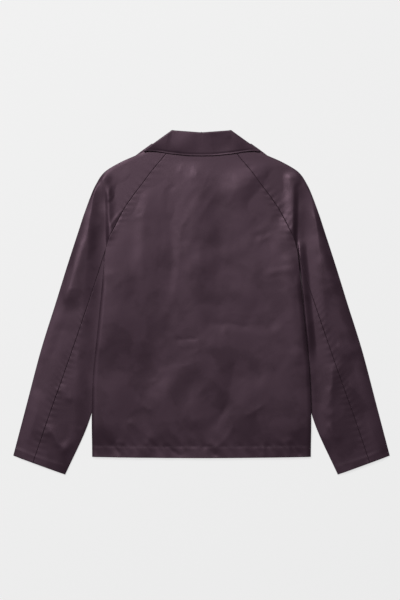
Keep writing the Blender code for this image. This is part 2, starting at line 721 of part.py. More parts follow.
def main():
    """Builds the whole jacket."""
    for obj in list(bpy.data.objects):
        bpy.data.objects.remove(obj)
    collection = bpy.data.collections.new(OBJECT_NAME)
    tools = bpy.data.collections.new(OBJECT_NAME + "_tools")
    bpy.context.scene.collection.children.link(collection)
    bpy.context.scene.collection.children.link(tools)
    collection.objects.link(bpy.data.objects.new(OBJECT_NAME, None))
    satin = make_material(SATIN)
    tape = make_material(TAPE)
    metal = make_material(METAL)
    link(panel("back", BACK_COLUMNS, SIDE_ROWS + RAGLAN_ROWS, back_point, CLOTH), satin, collection)
    for side in (LEFT, RIGHT):
        make_side(side, collection, satin, tape, metal)
    link(collar_piece("collar_back", COLLAR_COLUMNS, collar_back_point), satin, collection)
    make_bottom_box(collection, metal)
    make_slider(collection, tools, metal)
    make_pull_tab(collection, tools, metal)


main()
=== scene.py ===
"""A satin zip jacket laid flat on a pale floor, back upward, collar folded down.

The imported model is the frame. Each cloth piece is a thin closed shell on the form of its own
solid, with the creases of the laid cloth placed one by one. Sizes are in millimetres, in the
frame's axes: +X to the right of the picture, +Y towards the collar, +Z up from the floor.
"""

import logging
import math
from dataclasses import dataclass, field
from enum import Enum
from typing import Any, Sequence, Union

import bpy
import numpy as np
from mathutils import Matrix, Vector


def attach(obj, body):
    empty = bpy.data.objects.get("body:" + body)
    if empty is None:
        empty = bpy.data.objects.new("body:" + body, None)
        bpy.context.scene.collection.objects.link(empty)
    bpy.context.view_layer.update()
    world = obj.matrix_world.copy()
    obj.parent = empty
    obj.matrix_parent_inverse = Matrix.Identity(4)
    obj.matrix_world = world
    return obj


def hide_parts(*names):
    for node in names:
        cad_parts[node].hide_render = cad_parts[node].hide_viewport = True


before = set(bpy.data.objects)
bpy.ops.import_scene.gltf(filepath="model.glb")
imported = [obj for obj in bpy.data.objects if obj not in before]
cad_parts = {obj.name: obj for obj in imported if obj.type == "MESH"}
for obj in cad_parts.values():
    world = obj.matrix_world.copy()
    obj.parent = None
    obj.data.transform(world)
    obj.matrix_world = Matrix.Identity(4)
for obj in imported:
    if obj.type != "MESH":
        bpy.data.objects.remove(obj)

MM = 0.001
Array = np.ndarray
Number = Union[float, Array]

# Distances from a rim of the extra rows and columns that round it
RIM_STEPS = (0.1, 0.35, 0.8, 1.6, 3.0)
FINE_RIM_STEPS = RIM_STEPS[:3]
# Rounding of a sharp crease's crest, as a share of its width
CREST_ROUND = 0.35
# Faces round a stitch or tooth and from end to end of it, and how near to its poles they reach
BLOCK_AROUND = 6
BLOCK_RINGS = 4
BLOCK_POLE = 0.48
# Rim rows of the zip's tapes, and the columns that a row of stitches leaves out at an edge and at a seam
TAPE_RIM_STEPS = (0.1, 0.3, 0.8)
EDGE_MARGIN = 4
SEAM_MARGIN = 3

log = logging.getLogger("zip_jacket")


class Side(Enum):
    """The jacket's two sides in the picture, as the sign of X."""

    LEFT = -1
    RIGHT = 1

    @property
    def label(self) -> str:
        """The side's word in the names of pieces."""
        return self.name.lower()


class Slot(Enum):
    """The record's material slots."""

    SATIN = "satin"
    TAPE = "zip_tape"
    METAL = "zip_metal"


class Body(Enum):
    """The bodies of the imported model."""

    JACKET = "jacket"
    PULL_TAB = "pull_tab"


class Profile(Enum):
    """How a crease's height falls off to its sides."""

    SOFT = "soft"
    SHARP = "sharp"


def ease(value: Number) -> Array:
    """A smooth step from 0 to 1."""
    held = np.clip(value, 0.0, 1.0)
    return held * held * (3.0 - 2.0 * held)


def mix(start: Number, end: Number, share: Number) -> Number:
    """The value at a share of the way from start to end."""
    return start + (end - start) * share


@dataclass(frozen=True)
class Curve:
    """A smooth line through a short table of keys and values."""

    keys: tuple[float, ...]
    values: tuple[float, ...]

    def at(self, where: Number) -> Array:
        """The line's value.

        Args:
            where: Places along the keys, held between the first and the last.

        Returns:
            The values there, on a cubic through the rows.
        """
        keys = np.array(self.keys)
        values = np.array(self.values)
        last = len(keys) - 1
        before = np.maximum(np.arange(last + 1) - 1, 0)
        after = np.minimum(np.arange(last + 1) + 1, last)
        slopes = (values[after] - values[before]) / (keys[after] - keys[before])
        held = np.clip(where, keys[0], keys[-1])
        i = np.clip(np.searchsorted(keys, held, side="right") - 1, 0, last - 1)
        span = keys[i + 1] - keys[i]
        t = (held - keys[i]) / span
        start = values[i] * (1.0 + 2.0 * t) * (1.0 - t) ** 2 + slopes[i] * span * t * (1.0 - t) ** 2
        end = values[i + 1] * t * t * (3.0 - 2.0 * t) - slopes[i + 1] * span * t * t * (1.0 - t)
        return start + end


def curves(columns: Sequence[str], rows: Sequence[tuple[float, ...]]) -> dict[str, Curve]:
    """Smooth lines through the columns of a table.

    Args:
        columns: The names of the columns, with the key's name first.
        rows: The table's rows.

    Returns:
        A curve for each column after the first, by its name.
    """
    keys = tuple(row[0] for row in rows)
    return {name: Curve(keys, tuple(row[i + 1] for row in rows)) for i, name in enumerate(columns[1:])}


@dataclass(frozen=True)
class Crease:
    """One ridge (+) or trough (-) of the laid cloth, on a line that may bow to one side."""

    x0: float
    y0: float
    x1: float
    y1: float
    width: float
    height: float
    profile: Profile = Profile.SOFT
    bow: float = 0.0

    def rise(self, x: Array, y: Array) -> Array:
        """The crease's own height.

        Args:
            x: Places across the jacket.
            y: Places up the jacket.

        Returns:
            The rise or fall at each place, tapered towards the line's ends.
        """
        run_x = self.x1 - self.x0
        run_y = self.y1 - self.y0
        length = math.hypot(run_x, run_y)
        along = ((x - self.x0) * run_x + (y - self.y0) * run_y) / length
        aside = ((y - self.y0) * run_x - (x - self.x0) * run_y) / length
        share = np.clip(along / length, 0.0, 1.0)
        aside = aside - self.bow * 4.0 * share * (1.0 - share)
        beyond = along - share * length
        away = np.hypot(aside, beyond) / self.width
        if self.profile is Profile.SHARP:
            return self.height * np.exp(CREST_ROUND - np.sqrt(away**2 + CREST_ROUND**2))
        return self.height * np.exp(-(away**2))


# The largest folds, as the solids have them
MAIN_FOLDS = (
    Crease(-150.0, 243.0, -142.0, 19.0, 24.0, -1.0, Profile.SHARP),
    Crease(-112.0, 250.0, -110.0, 30.0, 22.0, 0.6),
    Crease(-70.0, 290.0, -68.0, -60.0, 30.0, -1.5, Profile.SHARP),
    Crease(-6.0, 285.0, -8.0, 100.0, 50.0, 1.5),
    Crease(0.0, 236.0, 0.0, 212.0, 32.0, 1.2),
    Crease(-8.0, 90.0, -10.0, -330.0, 18.0, 0.6),
    Crease(38.0, 280.0, 36.0, -30.0, 30.0, -1.5, Profile.SHARP),
    Crease(100.0, 235.0, 98.0, 20.0, 26.0, 0.9),
    Crease(62.0, 236.0, 112.0, 288.0, 38.0, 1.5),
    Crease(130.0, 190.0, 176.0, 236.0, 40.0, -1.6),
    Crease(20.0, -44.0, 140.0, -46.0, 14.0, -0.5),
    Crease(-170.0, -150.0, -90.0, -120.0, 55.0, -2.0),
    Crease(-150.0, 50.0, -112.0, 20.0, 36.0, 0.4),
    Crease(30.0, -100.0, 10.0, -240.0, 26.0, 0.8),
    Crease(-100.0, -140.0, -126.0, -230.0, 26.0, -1.0),
    Crease(76.0, -160.0, 60.0, -215.0, 20.0, -1.0),
    Crease(184.0, 90.0, 203.0, -110.0, 16.0, 1.2),
    Crease(-199.0, 262.0, -197.0, 140.0, 11.0, 2.2),
    Crease(190.0, 258.0, 191.0, 150.0, 15.0, 3.2),
    Crease(-224.0, 232.0, -270.0, 30.0, 25.0, 3.4),
    Crease(252.0, 178.0, 272.0, 40.0, 20.0, 2.2),
    Crease(-300.0, -60.0, -345.0, -180.0, 18.0, -1.2),
    Crease(-320.0, -266.0, -288.0, -304.0, 13.0, 1.1),
    Crease(282.0, -140.0, 262.0, -228.0, 13.0, 1.3),
    Crease(318.0, -120.0, 350.0, -240.0, 16.0, -1.0),
)

# Troughs across the raglan seams, which the back and the sleeves share
RAGLAN_CREASES = (
    Crease(-116.0, 282.0, -182.0, 170.0, 26.0, -1.1),
    Crease(108.0, 200.0, 152.0, 254.0, 20.0, -1.0),
)

# Smaller creases of the body's back
BACK_CREASES = RAGLAN_CREASES + (
    Crease(-66.0, 235.0, -63.0, 40.0, 9.0, -0.4, Profile.SOFT, 3.0),
    Crease(-120.0, 220.0, -126.0, 60.0, 10.0, 0.4, Profile.SOFT, -4.0),
    Crease(34.0, -43.0, 92.0, -46.0, 5.0, -0.3, Profile.SHARP, 1.5),
    Crease(-46.0, -77.0, -16.0, -80.0, 4.0, -0.45, Profile.SHARP),
    Crease(118.0, 140.0, 146.0, 120.0, 9.0, -0.5),
    Crease(124.0, 128.0, 142.0, 134.0, 6.0, 0.3),
    Crease(74.0, 232.0, 112.0, 292.0, 16.0, 0.5),
    Crease(67.0, -135.0, 32.0, -261.0, 7.0, -0.5, Profile.SHARP, 5.0),
    Crease(10.0, -100.0, -105.0, -200.0, 26.0, 0.6, Profile.SOFT, 6.0),
    Crease(-132.0, -210.0, -112.0, -222.0, 7.0, 0.8, Profile.SHARP),
    Crease(-145.0, -252.0, -106.0, -284.0, 8.0, 0.9, Profile.SHARP, 3.0),
    Crease(32.0, -303.0, 62.0, -266.0, 8.0, 0.9, Profile.SHARP, -3.0),
    Crease(95.0, -233.0, 123.0, -219.0, 7.0, 0.7, Profile.SHARP),
    Crease(-36.0, 297.0, -44.0, 280.0, 5.0, 0.5, Profile.SHARP),
    Crease(-18.0, 292.0, -11.0, 272.0, 5.0, 0.4, Profile.SHARP),
    Crease(-180.0, -297.0, -166.0, -322.0, 5.0, -1.2, Profile.SHARP),
    Crease(-71.0, -302.0, -43.0, -320.0, 5.0, -1.1, Profile.SHARP),
    Crease(2.0, -306.0, 28.0, -320.0, 5.0, -1.1, Profile.SHARP),
    Crease(186.0, -305.0, 204.0, -322.0, 6.0, -0.9),
    Crease(-171.0, -326.0, -168.0, -296.0, 7.0, 1.0),
    Crease(-73.0, -326.0, -72.0, -300.0, 10.0, 0.6),
    Crease(11.0, -326.0, 12.0, -302.0, 9.0, 0.5),
    Crease(130.0, -326.0, 131.0, -300.0, 6.0, 0.5),
    Crease(183.0, -326.0, 181.0, -298.0, 8.0, 0.7),
    Crease(-160.0, 205.0, -182.0, 150.0, 7.0, 0.5, Profile.SHARP, 3.0),
    Crease(150.0, 60.0, 190.0, 75.0, 12.0, 0.5),
    Crease(160.0, -60.0, 200.0, -110.0, 14.0, 0.6),
    Crease(-190.0, 60.0, -160.0, 20.0, 12.0, 0.5),
)

# Smaller creases of the sleeves
SLEEVE_CREASES = RAGLAN_CREASES + (
    Crease(-112.0, 276.0, -150.0, 226.0, 4.0, 0.5),
    Crease(-150.0, 226.0, -190.0, 158.0, 4.0, 0.5),
    Crease(-203.0, 264.0, -196.0, 219.0, 4.0, 0.7, Profile.SHARP),
    Crease(-196.0, 219.0, -200.0, 120.0, 5.0, 0.4, Profile.SHARP),
    Crease(-152.0, 246.0, -157.0, 230.0, 6.0, 0.4),
    Crease(-138.0, 252.0, -143.0, 242.0, 5.0, 0.3),
    Crease(-172.0, 214.0, -190.0, 154.0, 8.0, 0.5, Profile.SHARP, 3.0),
    Crease(-170.0, 282.0, -176.0, 240.0, 16.0, -0.6),
    Crease(-258.0, 120.0, -288.0, 10.0, 9.0, 0.6, Profile.SHARP, 3.0),
    Crease(-292.0, -185.0, -276.0, -202.0, 9.0, 0.8),
    Crease(-318.0, -268.0, -290.0, -303.0, 6.0, 0.9, Profile.SHARP),
    Crease(-262.0, -120.0, -246.0, -190.0, 10.0, 0.5, Profile.SHARP),
    Crease(-344.0, -230.0, -362.0, -290.0, 9.0, 0.5, Profile.SHARP),
    Crease(187.0, 262.0, 178.0, 180.0, 9.0, 0.3, Profile.SHARP, -3.0),
    Crease(240.0, 172.0, 252.0, 84.0, 8.0, 0.7, Profile.SHARP),
    Crease(270.0, -262.0, 288.0, -282.0, 8.0, 0.8),
    Crease(292.0, -95.0, 310.0, -110.0, 9.0, 0.8),
    Crease(274.0, -140.0, 258.0, -226.0, 6.0, 0.7, Profile.SHARP, 4.0),
    Crease(300.0, 10.0, 322.0, -60.0, 10.0, 0.5, Profile.SHARP),
    Crease(352.0, -250.0, 372.0, -300.0, 9.0, 0.5, Profile.SHARP),
)

# Shallow ridges of the sides that lie on the floor
FLOOR_CREASES = (
    Crease(-120.0, 150.0, -105.0, -60.0, 14.0, 0.4),
    Crease(-60.0, -90.0, -150.0, -240.0, 12.0, 0.35),
    Crease(110.0, 160.0, 96.0, -20.0, 15.0, 0.4),
    Crease(60.0, -120.0, 140.0, -260.0, 12.0, 0.35),
    Crease(-260.0, 60.0, -300.0, -80.0, 12.0, 0.35),
    Crease(-310.0, -150.0, -340.0, -260.0, 11.0, 0.3),
    Crease(264.0, 70.0, 296.0, -60.0, 12.0, 0.35),
    Crease(300.0, -170.0, 346.0, -250.0, 11.0, 0.3),
)

# Soft dents of the collar's leaf
COLLAR_CREASES = (
    Crease(-36.0, 354.0, -40.0, 312.0, 24.0, 1.3),
    Crease(40.0, 354.0, 44.0, 312.0, 24.0, -1.3),
    Crease(-12.0, 350.0, -4.0, 326.0, 9.0, -0.3),
    Crease(-88.0, 340.0, -84.0, 318.0, 9.0, 0.3),
)


@dataclass(frozen=True)
class JacketLay:
    """The jacket's cut and the heights of its layers as it lies, like its solids but for the roll."""

    cloth: float = 1.6
    seam_gap: float = 0.3
    seam_round: float = 0.8
    raglan_gap: float = 0.02
    tuck_gap: float = 0.05
    tuck_from: float = 30.0
    hem_y: float = -327.0
    hem_corner_rise: float = 2.5
    armpit_y: float = 108.0
    neck_y: float = 321.0
    neck_dip: float = 6.0
    neck_point_y: float = 334.0
    front_opening: float = 5.2
    front_neck_y: float = 240.0
    front_neck_share: float = 10.0 / 12.0
    front_neck_corner_x: float = 85.0
    front_neck_reach: float = 21.0
    under_sleeve_from: float = 0.03
    neck_lift_height: float = 2.7
    neck_lift_from: float = 135.0
    neck_lift_run: float = 60.0
    neck_level: float = 0.9
    side_lift_height: float = 5.0
    side_lift_flat: float = 13.0
    side_lift_run: float = 110.0
    side_lift_below_armpit: float = 4.0
    side_lift_top_run: float = 60.0
    side_lift_hem_run: float = 75.0
    upper_lift_top: float = 194.0
    upper_lift_run: float = 150.0
    loft_height: float = 3.4
    least_loft: float = 0.4
    most_loft: float = 11.0
    loft_softness: float = 2.2
    floor_crease_fade: float = 20.0
    edge_reach: float = 28.0
    side_reach: float = 9.0
    shoulder_reach: float = 0.35
    shoulder_reach_from: float = 190.0
    shoulder_reach_run: float = 50.0
    armpit_open_from: float = 20.0
    armpit_open_run: float = 70.0
    shoulder_tip_x: float = 206.0
    shoulder_tip_y: float = 264.0
    step_fade: float = 60.0
    valley_fall: float = 12.0
    valley_rise: float = 36.0
    left_valley_floor: float = 2.0
    right_valley_floor: float = 11.0
    roll_height: float = 5.5
    roll_rise: float = 3.5
    roll_fall: float = 17.0
    roll_start: float = 46.0
    roll_above: float = 28.0
    roll_to: float = -130.0
    roll_fade: float = 60.0
    collar_loft: float = 0.5
    collar_flat_y: float = 300.0
    collar_flat_run: float = 40.0
    side_line: Curve = Curve((-327.0, -226.0, -142.0, -58.0, 108.0), (230.0, 230.5, 227.0, 218.5, 202.0))
    raglan_line: Curve = Curve(
        (108.0, 135.0, 154.0, 194.0, 219.5, 250.0, 277.0, 303.0, 321.0),
        (202.0, 194.5, 185.0, 164.0, 147.0, 124.0, 104.0, 82.0, 68.0),
    )
    shoulder: dict[str, Curve] = field(
        default_factory=lambda: curves(
            ("seam_y", "x", "y"),
            (
                (108.0, 249.0, 180.0),
                (152.0, 234.0, 221.0),
                (192.0, 222.0, 248.0),
                (226.0, 204.0, 274.0),
                (256.0, 172.0, 294.0),
                (290.0, 133.0, 311.5),
                (321.0, 84.0, 334.0),
            ),
        )
    )
    sleeve: dict[str, Curve] = field(
        default_factory=lambda: curves(
            ("down", "seam_x", "seam_y", "outer_x", "outer_y", "edge_x", "edge_y"),
            (
                (0.00, 202.5, 108.0, 249.0, 180.0, 205.0, 101.0),
                (0.18, 229.0, 25.0, 280.0, 85.0, 209.0, 10.0),
                (0.37, 257.0, -58.0, 307.0, -2.0, 212.0, -78.0),
                (0.58, 290.0, -153.0, 338.0, -101.0, 218.0, -172.0),
                (0.79, 322.0, -243.0, 368.0, -215.0, 239.0, -257.0),
                (1.00, 354.0, -337.4, 396.0, -322.0, 286.7, -362.0),
            ),
        )
    )

    @property
    def side_length(self) -> float:
        """Length of the body's side from the hem to the armpit."""
        return self.armpit_y - self.hem_y

    @property
    def front_raglan(self) -> float:
        """Height of the front's raglan seam, which ends below the back's."""
        return (self.neck_y - self.armpit_y) * self.front_neck_share

    def half_width(self, y: Number) -> Array:
        """Half the body's width: its side below the armpit, the raglan seam above."""
        return np.where(np.less_equal(y, self.armpit_y), self.side_line.at(y), self.raglan_line.at(y))

    def neck_lift(self, y: Number) -> Array:
        """Height of the lower layer over the floor, raised by the collar's front halves."""
        return self.neck_lift_height * ease((y - self.neck_lift_from) / self.neck_lift_run)

    def side_lift(self, x: Array, y: Array) -> Array:
        """Rise of the body's side over the sleeve's inner edge, which is tucked under it.

        Args:
            x: Places across the jacket.
            y: Places up the jacket.

        Returns:
            The rise at each place.
        """
        inside = self.half_width(y) - np.abs(x)
        across = 1.0 - ease((inside - self.side_lift_flat) / self.side_lift_run)
        below = ease((self.armpit_y - self.side_lift_below_armpit - y) / self.side_lift_top_run)
        return self.side_lift_height * across * below * ease((y - self.hem_y) / self.side_lift_hem_run)

    def floor_side(self, x: Array, y: Array) -> Array:
        """Height of a front panel's outer face, which lies on the floor."""
        return self.neck_lift(y) + self.side_lift(x, y)

    def edge_swell(self, distance: Number) -> Array:
        """Share of the loft at a distance from a folded edge."""
        return 1.0 - (1.0 - np.clip(distance / self.edge_reach, 0.0, 1.0)) ** 2

    def body_swell(self, x: Array, y: Array) -> Array:
        """Share of the loft in the body: closed along its side, open at the armpit and above.

        Args:
            x: Places across the jacket.
            y: Places up the jacket.

        Returns:
            Shares from 0 to 1.
        """
        inside = self.half_width(np.minimum(y, self.armpit_y)) - np.abs(x)
        side = self.edge_swell(inside * self.edge_reach / self.side_reach)
        return mix(side, 1.0, ease((y - self.armpit_open_from) / self.armpit_open_run))

    def upper_lift(self, x: Array, y: Array) -> Array:
        """Rise of the upper layer over the sleeves' inner edges, fading well above the armpits.

        Args:
            x: Places across the jacket.
            y: Places up the jacket.

        Returns:
            The rise at each place.
        """
        inside = self.half_width(np.minimum(y, self.armpit_y)) - np.abs(x)
        across = 1.0 - ease((inside - self.side_lift_flat) / self.side_lift_run)
        above = ease((self.upper_lift_top - y) / self.upper_lift_run)
        return self.side_lift_height * across * above * ease((y - self.hem_y) / self.side_lift_hem_run)

    def beyond_body(self, x: Array, y: Array) -> Array:
        """Distance outside the body's side and the line on from there to the shoulder tip."""
        up = np.clip((y - self.armpit_y) / (self.shoulder_tip_y - self.armpit_y), 0.0, 1.0)
        return np.abs(x) - mix(self.half_width(np.minimum(y, self.armpit_y)), self.shoulder_tip_x, up)

    def valley_drop(self, x: Array, y: Array) -> Array:
        """Share of the body's height that is left in a sleeve, which falls into the valley beside it."""
        return np.where(y > self.armpit_y, ease(-self.beyond_body(x, y) / self.valley_fall), 0.0)

    def on_right(self, x: Array) -> Array:
        """1 on the jacket's right and 0 on its left."""
        return np.clip(x, 0.0, 1.0)

    def sleeve_swell(self, x: Array, y: Array) -> Array:
        """Share of the loft in a sleeve, with a valley beside the body and up to the shoulder tip.

        Args:
            x: Places across the jacket.
            y: Places up the jacket.

        Returns:
            Shares from 0 to 1.
        """
        floor = mix(self.left_valley_floor, self.right_valley_floor, self.on_right(x))
        rise = ease((self.beyond_body(x, y) - floor) / self.valley_rise)
        valley = np.maximum(rise, self.valley_drop(x, y))
        return mix(1.0, valley, ease((self.shoulder_tip_y - y) / self.step_fade))

    def roll(self, x: Array, y: Array) -> Array:
        """Height of the right sleeve's roll where it comes out from under the body.

        Args:
            x: Places across the jacket.
            y: Places up the jacket.

        Returns:
            The height at each place.
        """
        beyond = np.abs(x) - self.half_width(np.minimum(y, self.armpit_y))
        shape = ease(beyond / self.roll_rise) * (1.0 - ease((beyond - self.roll_rise) / self.roll_fall))
        above = ease((y - self.roll_to) / self.roll_fade)
        below = ease((self.armpit_y + self.roll_above - y) / self.roll_start)
        return self.roll_height * self.on_right(x) * shape * above * below

    def loft(self, x: Array, y: Array, swell: Array, creases: Sequence[Crease]) -> Array:
        """Air under the upper layer.

        Args:
            x: Places across the jacket.
            y: Places up the jacket.
            swell: Share of the loft at each place.
            creases: The piece's own smaller creases.

        Returns:
            The loft, softly held between its least and its most, and pressed flat at the collar.
        """
        span = self.most_loft - self.least_loft
        level = self.loft_height - self.neck_level * self.neck_lift(y)
        wanted = level + fold_field(MAIN_FOLDS, x, y) - self.least_loft
        kept = np.logaddexp(0.0, wanted * self.loft_softness) / self.loft_softness
        free = self.least_loft + span * np.tanh(kept / span)
        free = free + fold_field(creases, x, y) + crumple(x, y)
        free = np.maximum(free, self.least_loft)
        return swell * mix(self.collar_loft, free, ease((self.collar_flat_y - y) / self.collar_flat_run))


@dataclass(frozen=True)
class Crumple:
    """The uneven handling of a soft cloth: patches of small dents and creases, never twice the same."""

    seed: int
    length: float
    height: float
    ridged: bool = False
    turn: float = 0.0
    stretch: float = 1.0
    cells: int = 64
    bend_scale: float = 0.6
    bend_shift: tuple[float, float] = (11.3, 5.7)
    ridge_level: float = 0.6
    ridge_round: float = 0.1
    ridge_slope: float = 1.5

    def noise(self, x: Array, y: Array) -> Array:
        """Smooth random values about 0, on a lattice that repeats far away.

        Args:
            x: Places across, in lattice cells.
            y: Places up, in lattice cells.

        Returns:
            Values from about -1 to 1.
        """
        lattice = np.random.default_rng(self.seed).uniform(-1.0, 1.0, (self.cells, self.cells))
        column = np.floor(x).astype(int)
        row = np.floor(y).astype(int)
        across = ease(x - column)
        up = ease(y - row)
        corners = [
            [lattice[(row + j) % self.cells, (column + i) % self.cells] for i in (0, 1)] for j in (0, 1)
        ]
        return mix(mix(corners[0][0], corners[0][1], across), mix(corners[1][0], corners[1][1], across), up)

    def rise(self, x: Array, y: Array) -> Array:
        """Height of the unevenness at each place.

        Args:
            x: Places across the jacket.
            y: Places up the jacket.

        Returns:
            The rise or fall there.
        """
        along = (x * math.cos(self.turn) + y * math.sin(self.turn)) / self.length / self.stretch
        aside = (y * math.cos(self.turn) - x * math.sin(self.turn)) / self.length
        bend_x, bend_y = self.bend_shift
        bend = self.noise(along * self.bend_scale + bend_x, aside * self.bend_scale + bend_y)
        value = self.noise(along + bend, aside - bend)
        if self.ridged:
            value = self.ridge_level - np.hypot(value, self.ridge_round) * self.ridge_slope
        return self.height * value


# The unevenness of the upper layer, from broad to fine
CRUMPLES = (
    Crumple(3, 74.0, 0.50),
    Crumple(8, 41.0, 0.36, False, 0.7, 1.4),
    Crumple(15, 58.0, 0.36, True, 1.1, 1.5),
    Crumple(21, 33.0, 0.17, True, 2.3, 1.6),
    Crumple(29, 21.0, 0.06, True, 0.4, 1.5),
)

# How far the lines of the creases wander across and up
WANDER = (
    (Crumple(41, 62.0, 3.0), Crumple(43, 19.0, 2.6)),
    (Crumple(47, 62.0, 6.0), Crumple(53, 19.0, 2.6)),
)


def fold_field(creases: Sequence[Crease], x: Array, y: Array) -> Array:
    """All the heights of a set of creases added up at each place, on lines that wander a little.

    Args:
        creases: The creases.
        x: Places across the jacket.
        y: Places up the jacket.

    Returns:
        The rise or fall at each place.
    """
    x, y = np.broadcast_arrays(x, y)
    wandered = tuple(
        place + sum(patch.rise(x, y) for patch in patches) for place, patches in zip((x, y), WANDER)
    )
    return sum((crease.rise(*wandered) for crease in creases), np.zeros(x.shape))


def crumple(x: Array, y: Array) -> Array:
    """All the unevenness of the upper layer."""
    return sum((patch.rise(x, y) for patch in CRUMPLES), np.zeros(np.broadcast(x, y).shape))


def crowded_shares(count: int, length: float, rim: Sequence[float]) -> Array:
    """Places across a piece, with extra ones close to both of its rims.

    Args:
        count: Even steps between the rims.
        length: The piece's length that way.
        rim: Distances of the extra places from the rim.

    Returns:
        Shares from 0 to 1.
    """
    near = np.array(rim) / length
    inner = np.linspace(near[-1], 1.0 - near[-1], count + 1)
    return np.concatenate([[0.0], near[:-1], inner, 1.0 - near[:-1][::-1], [1.0]])


def rim_distance(points: Array) -> Array:
    """Distance of each point of a grid from the grid's nearest border, along its rows and columns.

    Args:
        points: The grid's points, rows by columns.

    Returns:
        The distances, rows by columns.
    """
    nearest = None
    for axis in (0, 1):
        steps = np.linalg.norm(np.diff(points, axis=axis), axis=2)
        zero = np.zeros_like(np.take(steps, [0], axis=axis))
        run = np.concatenate([zero, np.cumsum(steps, axis=axis)], axis=axis)
        ends = np.minimum(run, np.take(run, [-1], axis=axis) - run)
        nearest = ends if nearest is None else np.minimum(nearest, ends)
    return nearest


def rounding(distance: Array, radius: float) -> Array:
    """Share of the wall's height near a rim, on a quarter circle."""
    return np.sqrt(np.maximum(1.0 - (1.0 - np.clip(distance / radius, 0.0, 1.0)) ** 2, 0.0))


def mesh_object(name: str, points: Array, quads: Array) -> bpy.types.Object:
    """An object from points in millimetres and four-cornered faces, shaded smooth.

    Args:
        name: The object's name.
        points: The points.
        quads: Point numbers of each face.

    Returns:
        The object.
    """
    mesh = bpy.data.meshes.new(name)
    mesh.vertices.add(len(points))
    mesh.vertices.foreach_set("co", (points * MM).astype(np.float32).ravel())
    mesh.loops.add(quads.size)
    mesh.loops.foreach_set("vertex_index", quads.astype(np.int32).ravel())
    mesh.polygons.add(len(quads))
    mesh.polygons.foreach_set("loop_start", np.arange(0, quads.size, 4, dtype=np.int32))
    mesh.update(calc_edges=True)
    mesh.validate()
    mesh.shade_smooth()
    made = bpy.data.objects.new(name, mesh)
    bpy.context.scene.collection.objects.link(made)
    return made


def grid_quads(index: Array) -> Array:
    """The four-cornered faces of a grid of point numbers."""
    corners = (index[:-1, :-1], index[:-1, 1:], index[1:, 1:], index[1:, :-1])
    return np.stack([corner.ravel() for corner in corners], axis=1)


def shell_object(name: str, upper: Array, lower: Array) -> bpy.types.Object:
    """A closed shell between two grids that meet at their border.

    Args:
        name: The piece's name.
        upper: The face that is outward for a grid turned anticlockwise, rows by columns by 3.
        lower: The other face, with the same border.

    Returns:
        The object.
    """
    rows, columns, _ = upper.shape
    top = np.arange(rows * columns).reshape(rows, columns)
    bottom = top.copy()
    inner = (rows - 2) * (columns - 2)
    bottom[1:-1, 1:-1] = rows * columns + np.arange(inner).reshape(rows - 2, columns - 2)
    points = np.concatenate([upper.reshape(-1, 3), lower[1:-1, 1:-1].reshape(-1, 3)])
    quads = np.concatenate([grid_quads(top), grid_quads(bottom)[:, ::-1]])
    turn = np.cross(upper[1, 1] - upper[1, 0], upper[2, 1] - upper[1, 1])
    thick = upper[rows // 2, columns // 2] - lower[rows // 2, columns // 2]
    if turn @ thick < 0.0:
        quads = quads[:, ::-1]
    return mesh_object(name, points, quads)


def cut_area(points: Array) -> float:
    """Area of a grid's faces, in square metres.

    Args:
        points: The grid's points, in millimetres.

    Returns:
        The area.
    """
    across = np.diff(points, axis=1)[:-1]
    up = np.diff(points, axis=0)[:, :-1]
    squares = np.sum(across**2, axis=2) * np.sum(up**2, axis=2) - np.sum(across * up, axis=2) ** 2
    return float(np.sqrt(np.maximum(squares, 0.0)).sum()) * MM * MM


class Wire:
    """A number inside a material, which takes part in Python expressions."""

    def __init__(self, graph: "Graph", socket: bpy.types.NodeSocket) -> None:
        """Keeps the graph that the socket belongs to, and the socket."""
        self.graph = graph
        self.socket = socket

    def _math(self, operation: str, first: Any, second: Any) -> "Wire":
        """A Math node on two values or wires."""
        return self.graph.node("ShaderNodeMath", {"operation": operation}, {0: first, 1: second})

    def __add__(self, other: Any) -> "Wire":
        """self + other."""
        return self._math("ADD", self, other)

    def __radd__(self, other: Any) -> "Wire":
        """other + self."""
        return self._math("ADD", other, self)

    def __sub__(self, other: Any) -> "Wire":
        """self - other."""
        return self._math("SUBTRACT", self, other)

    def __mul__(self, other: Any) -> "Wire":
        """self * other."""
        return self._math("MULTIPLY", self, other)


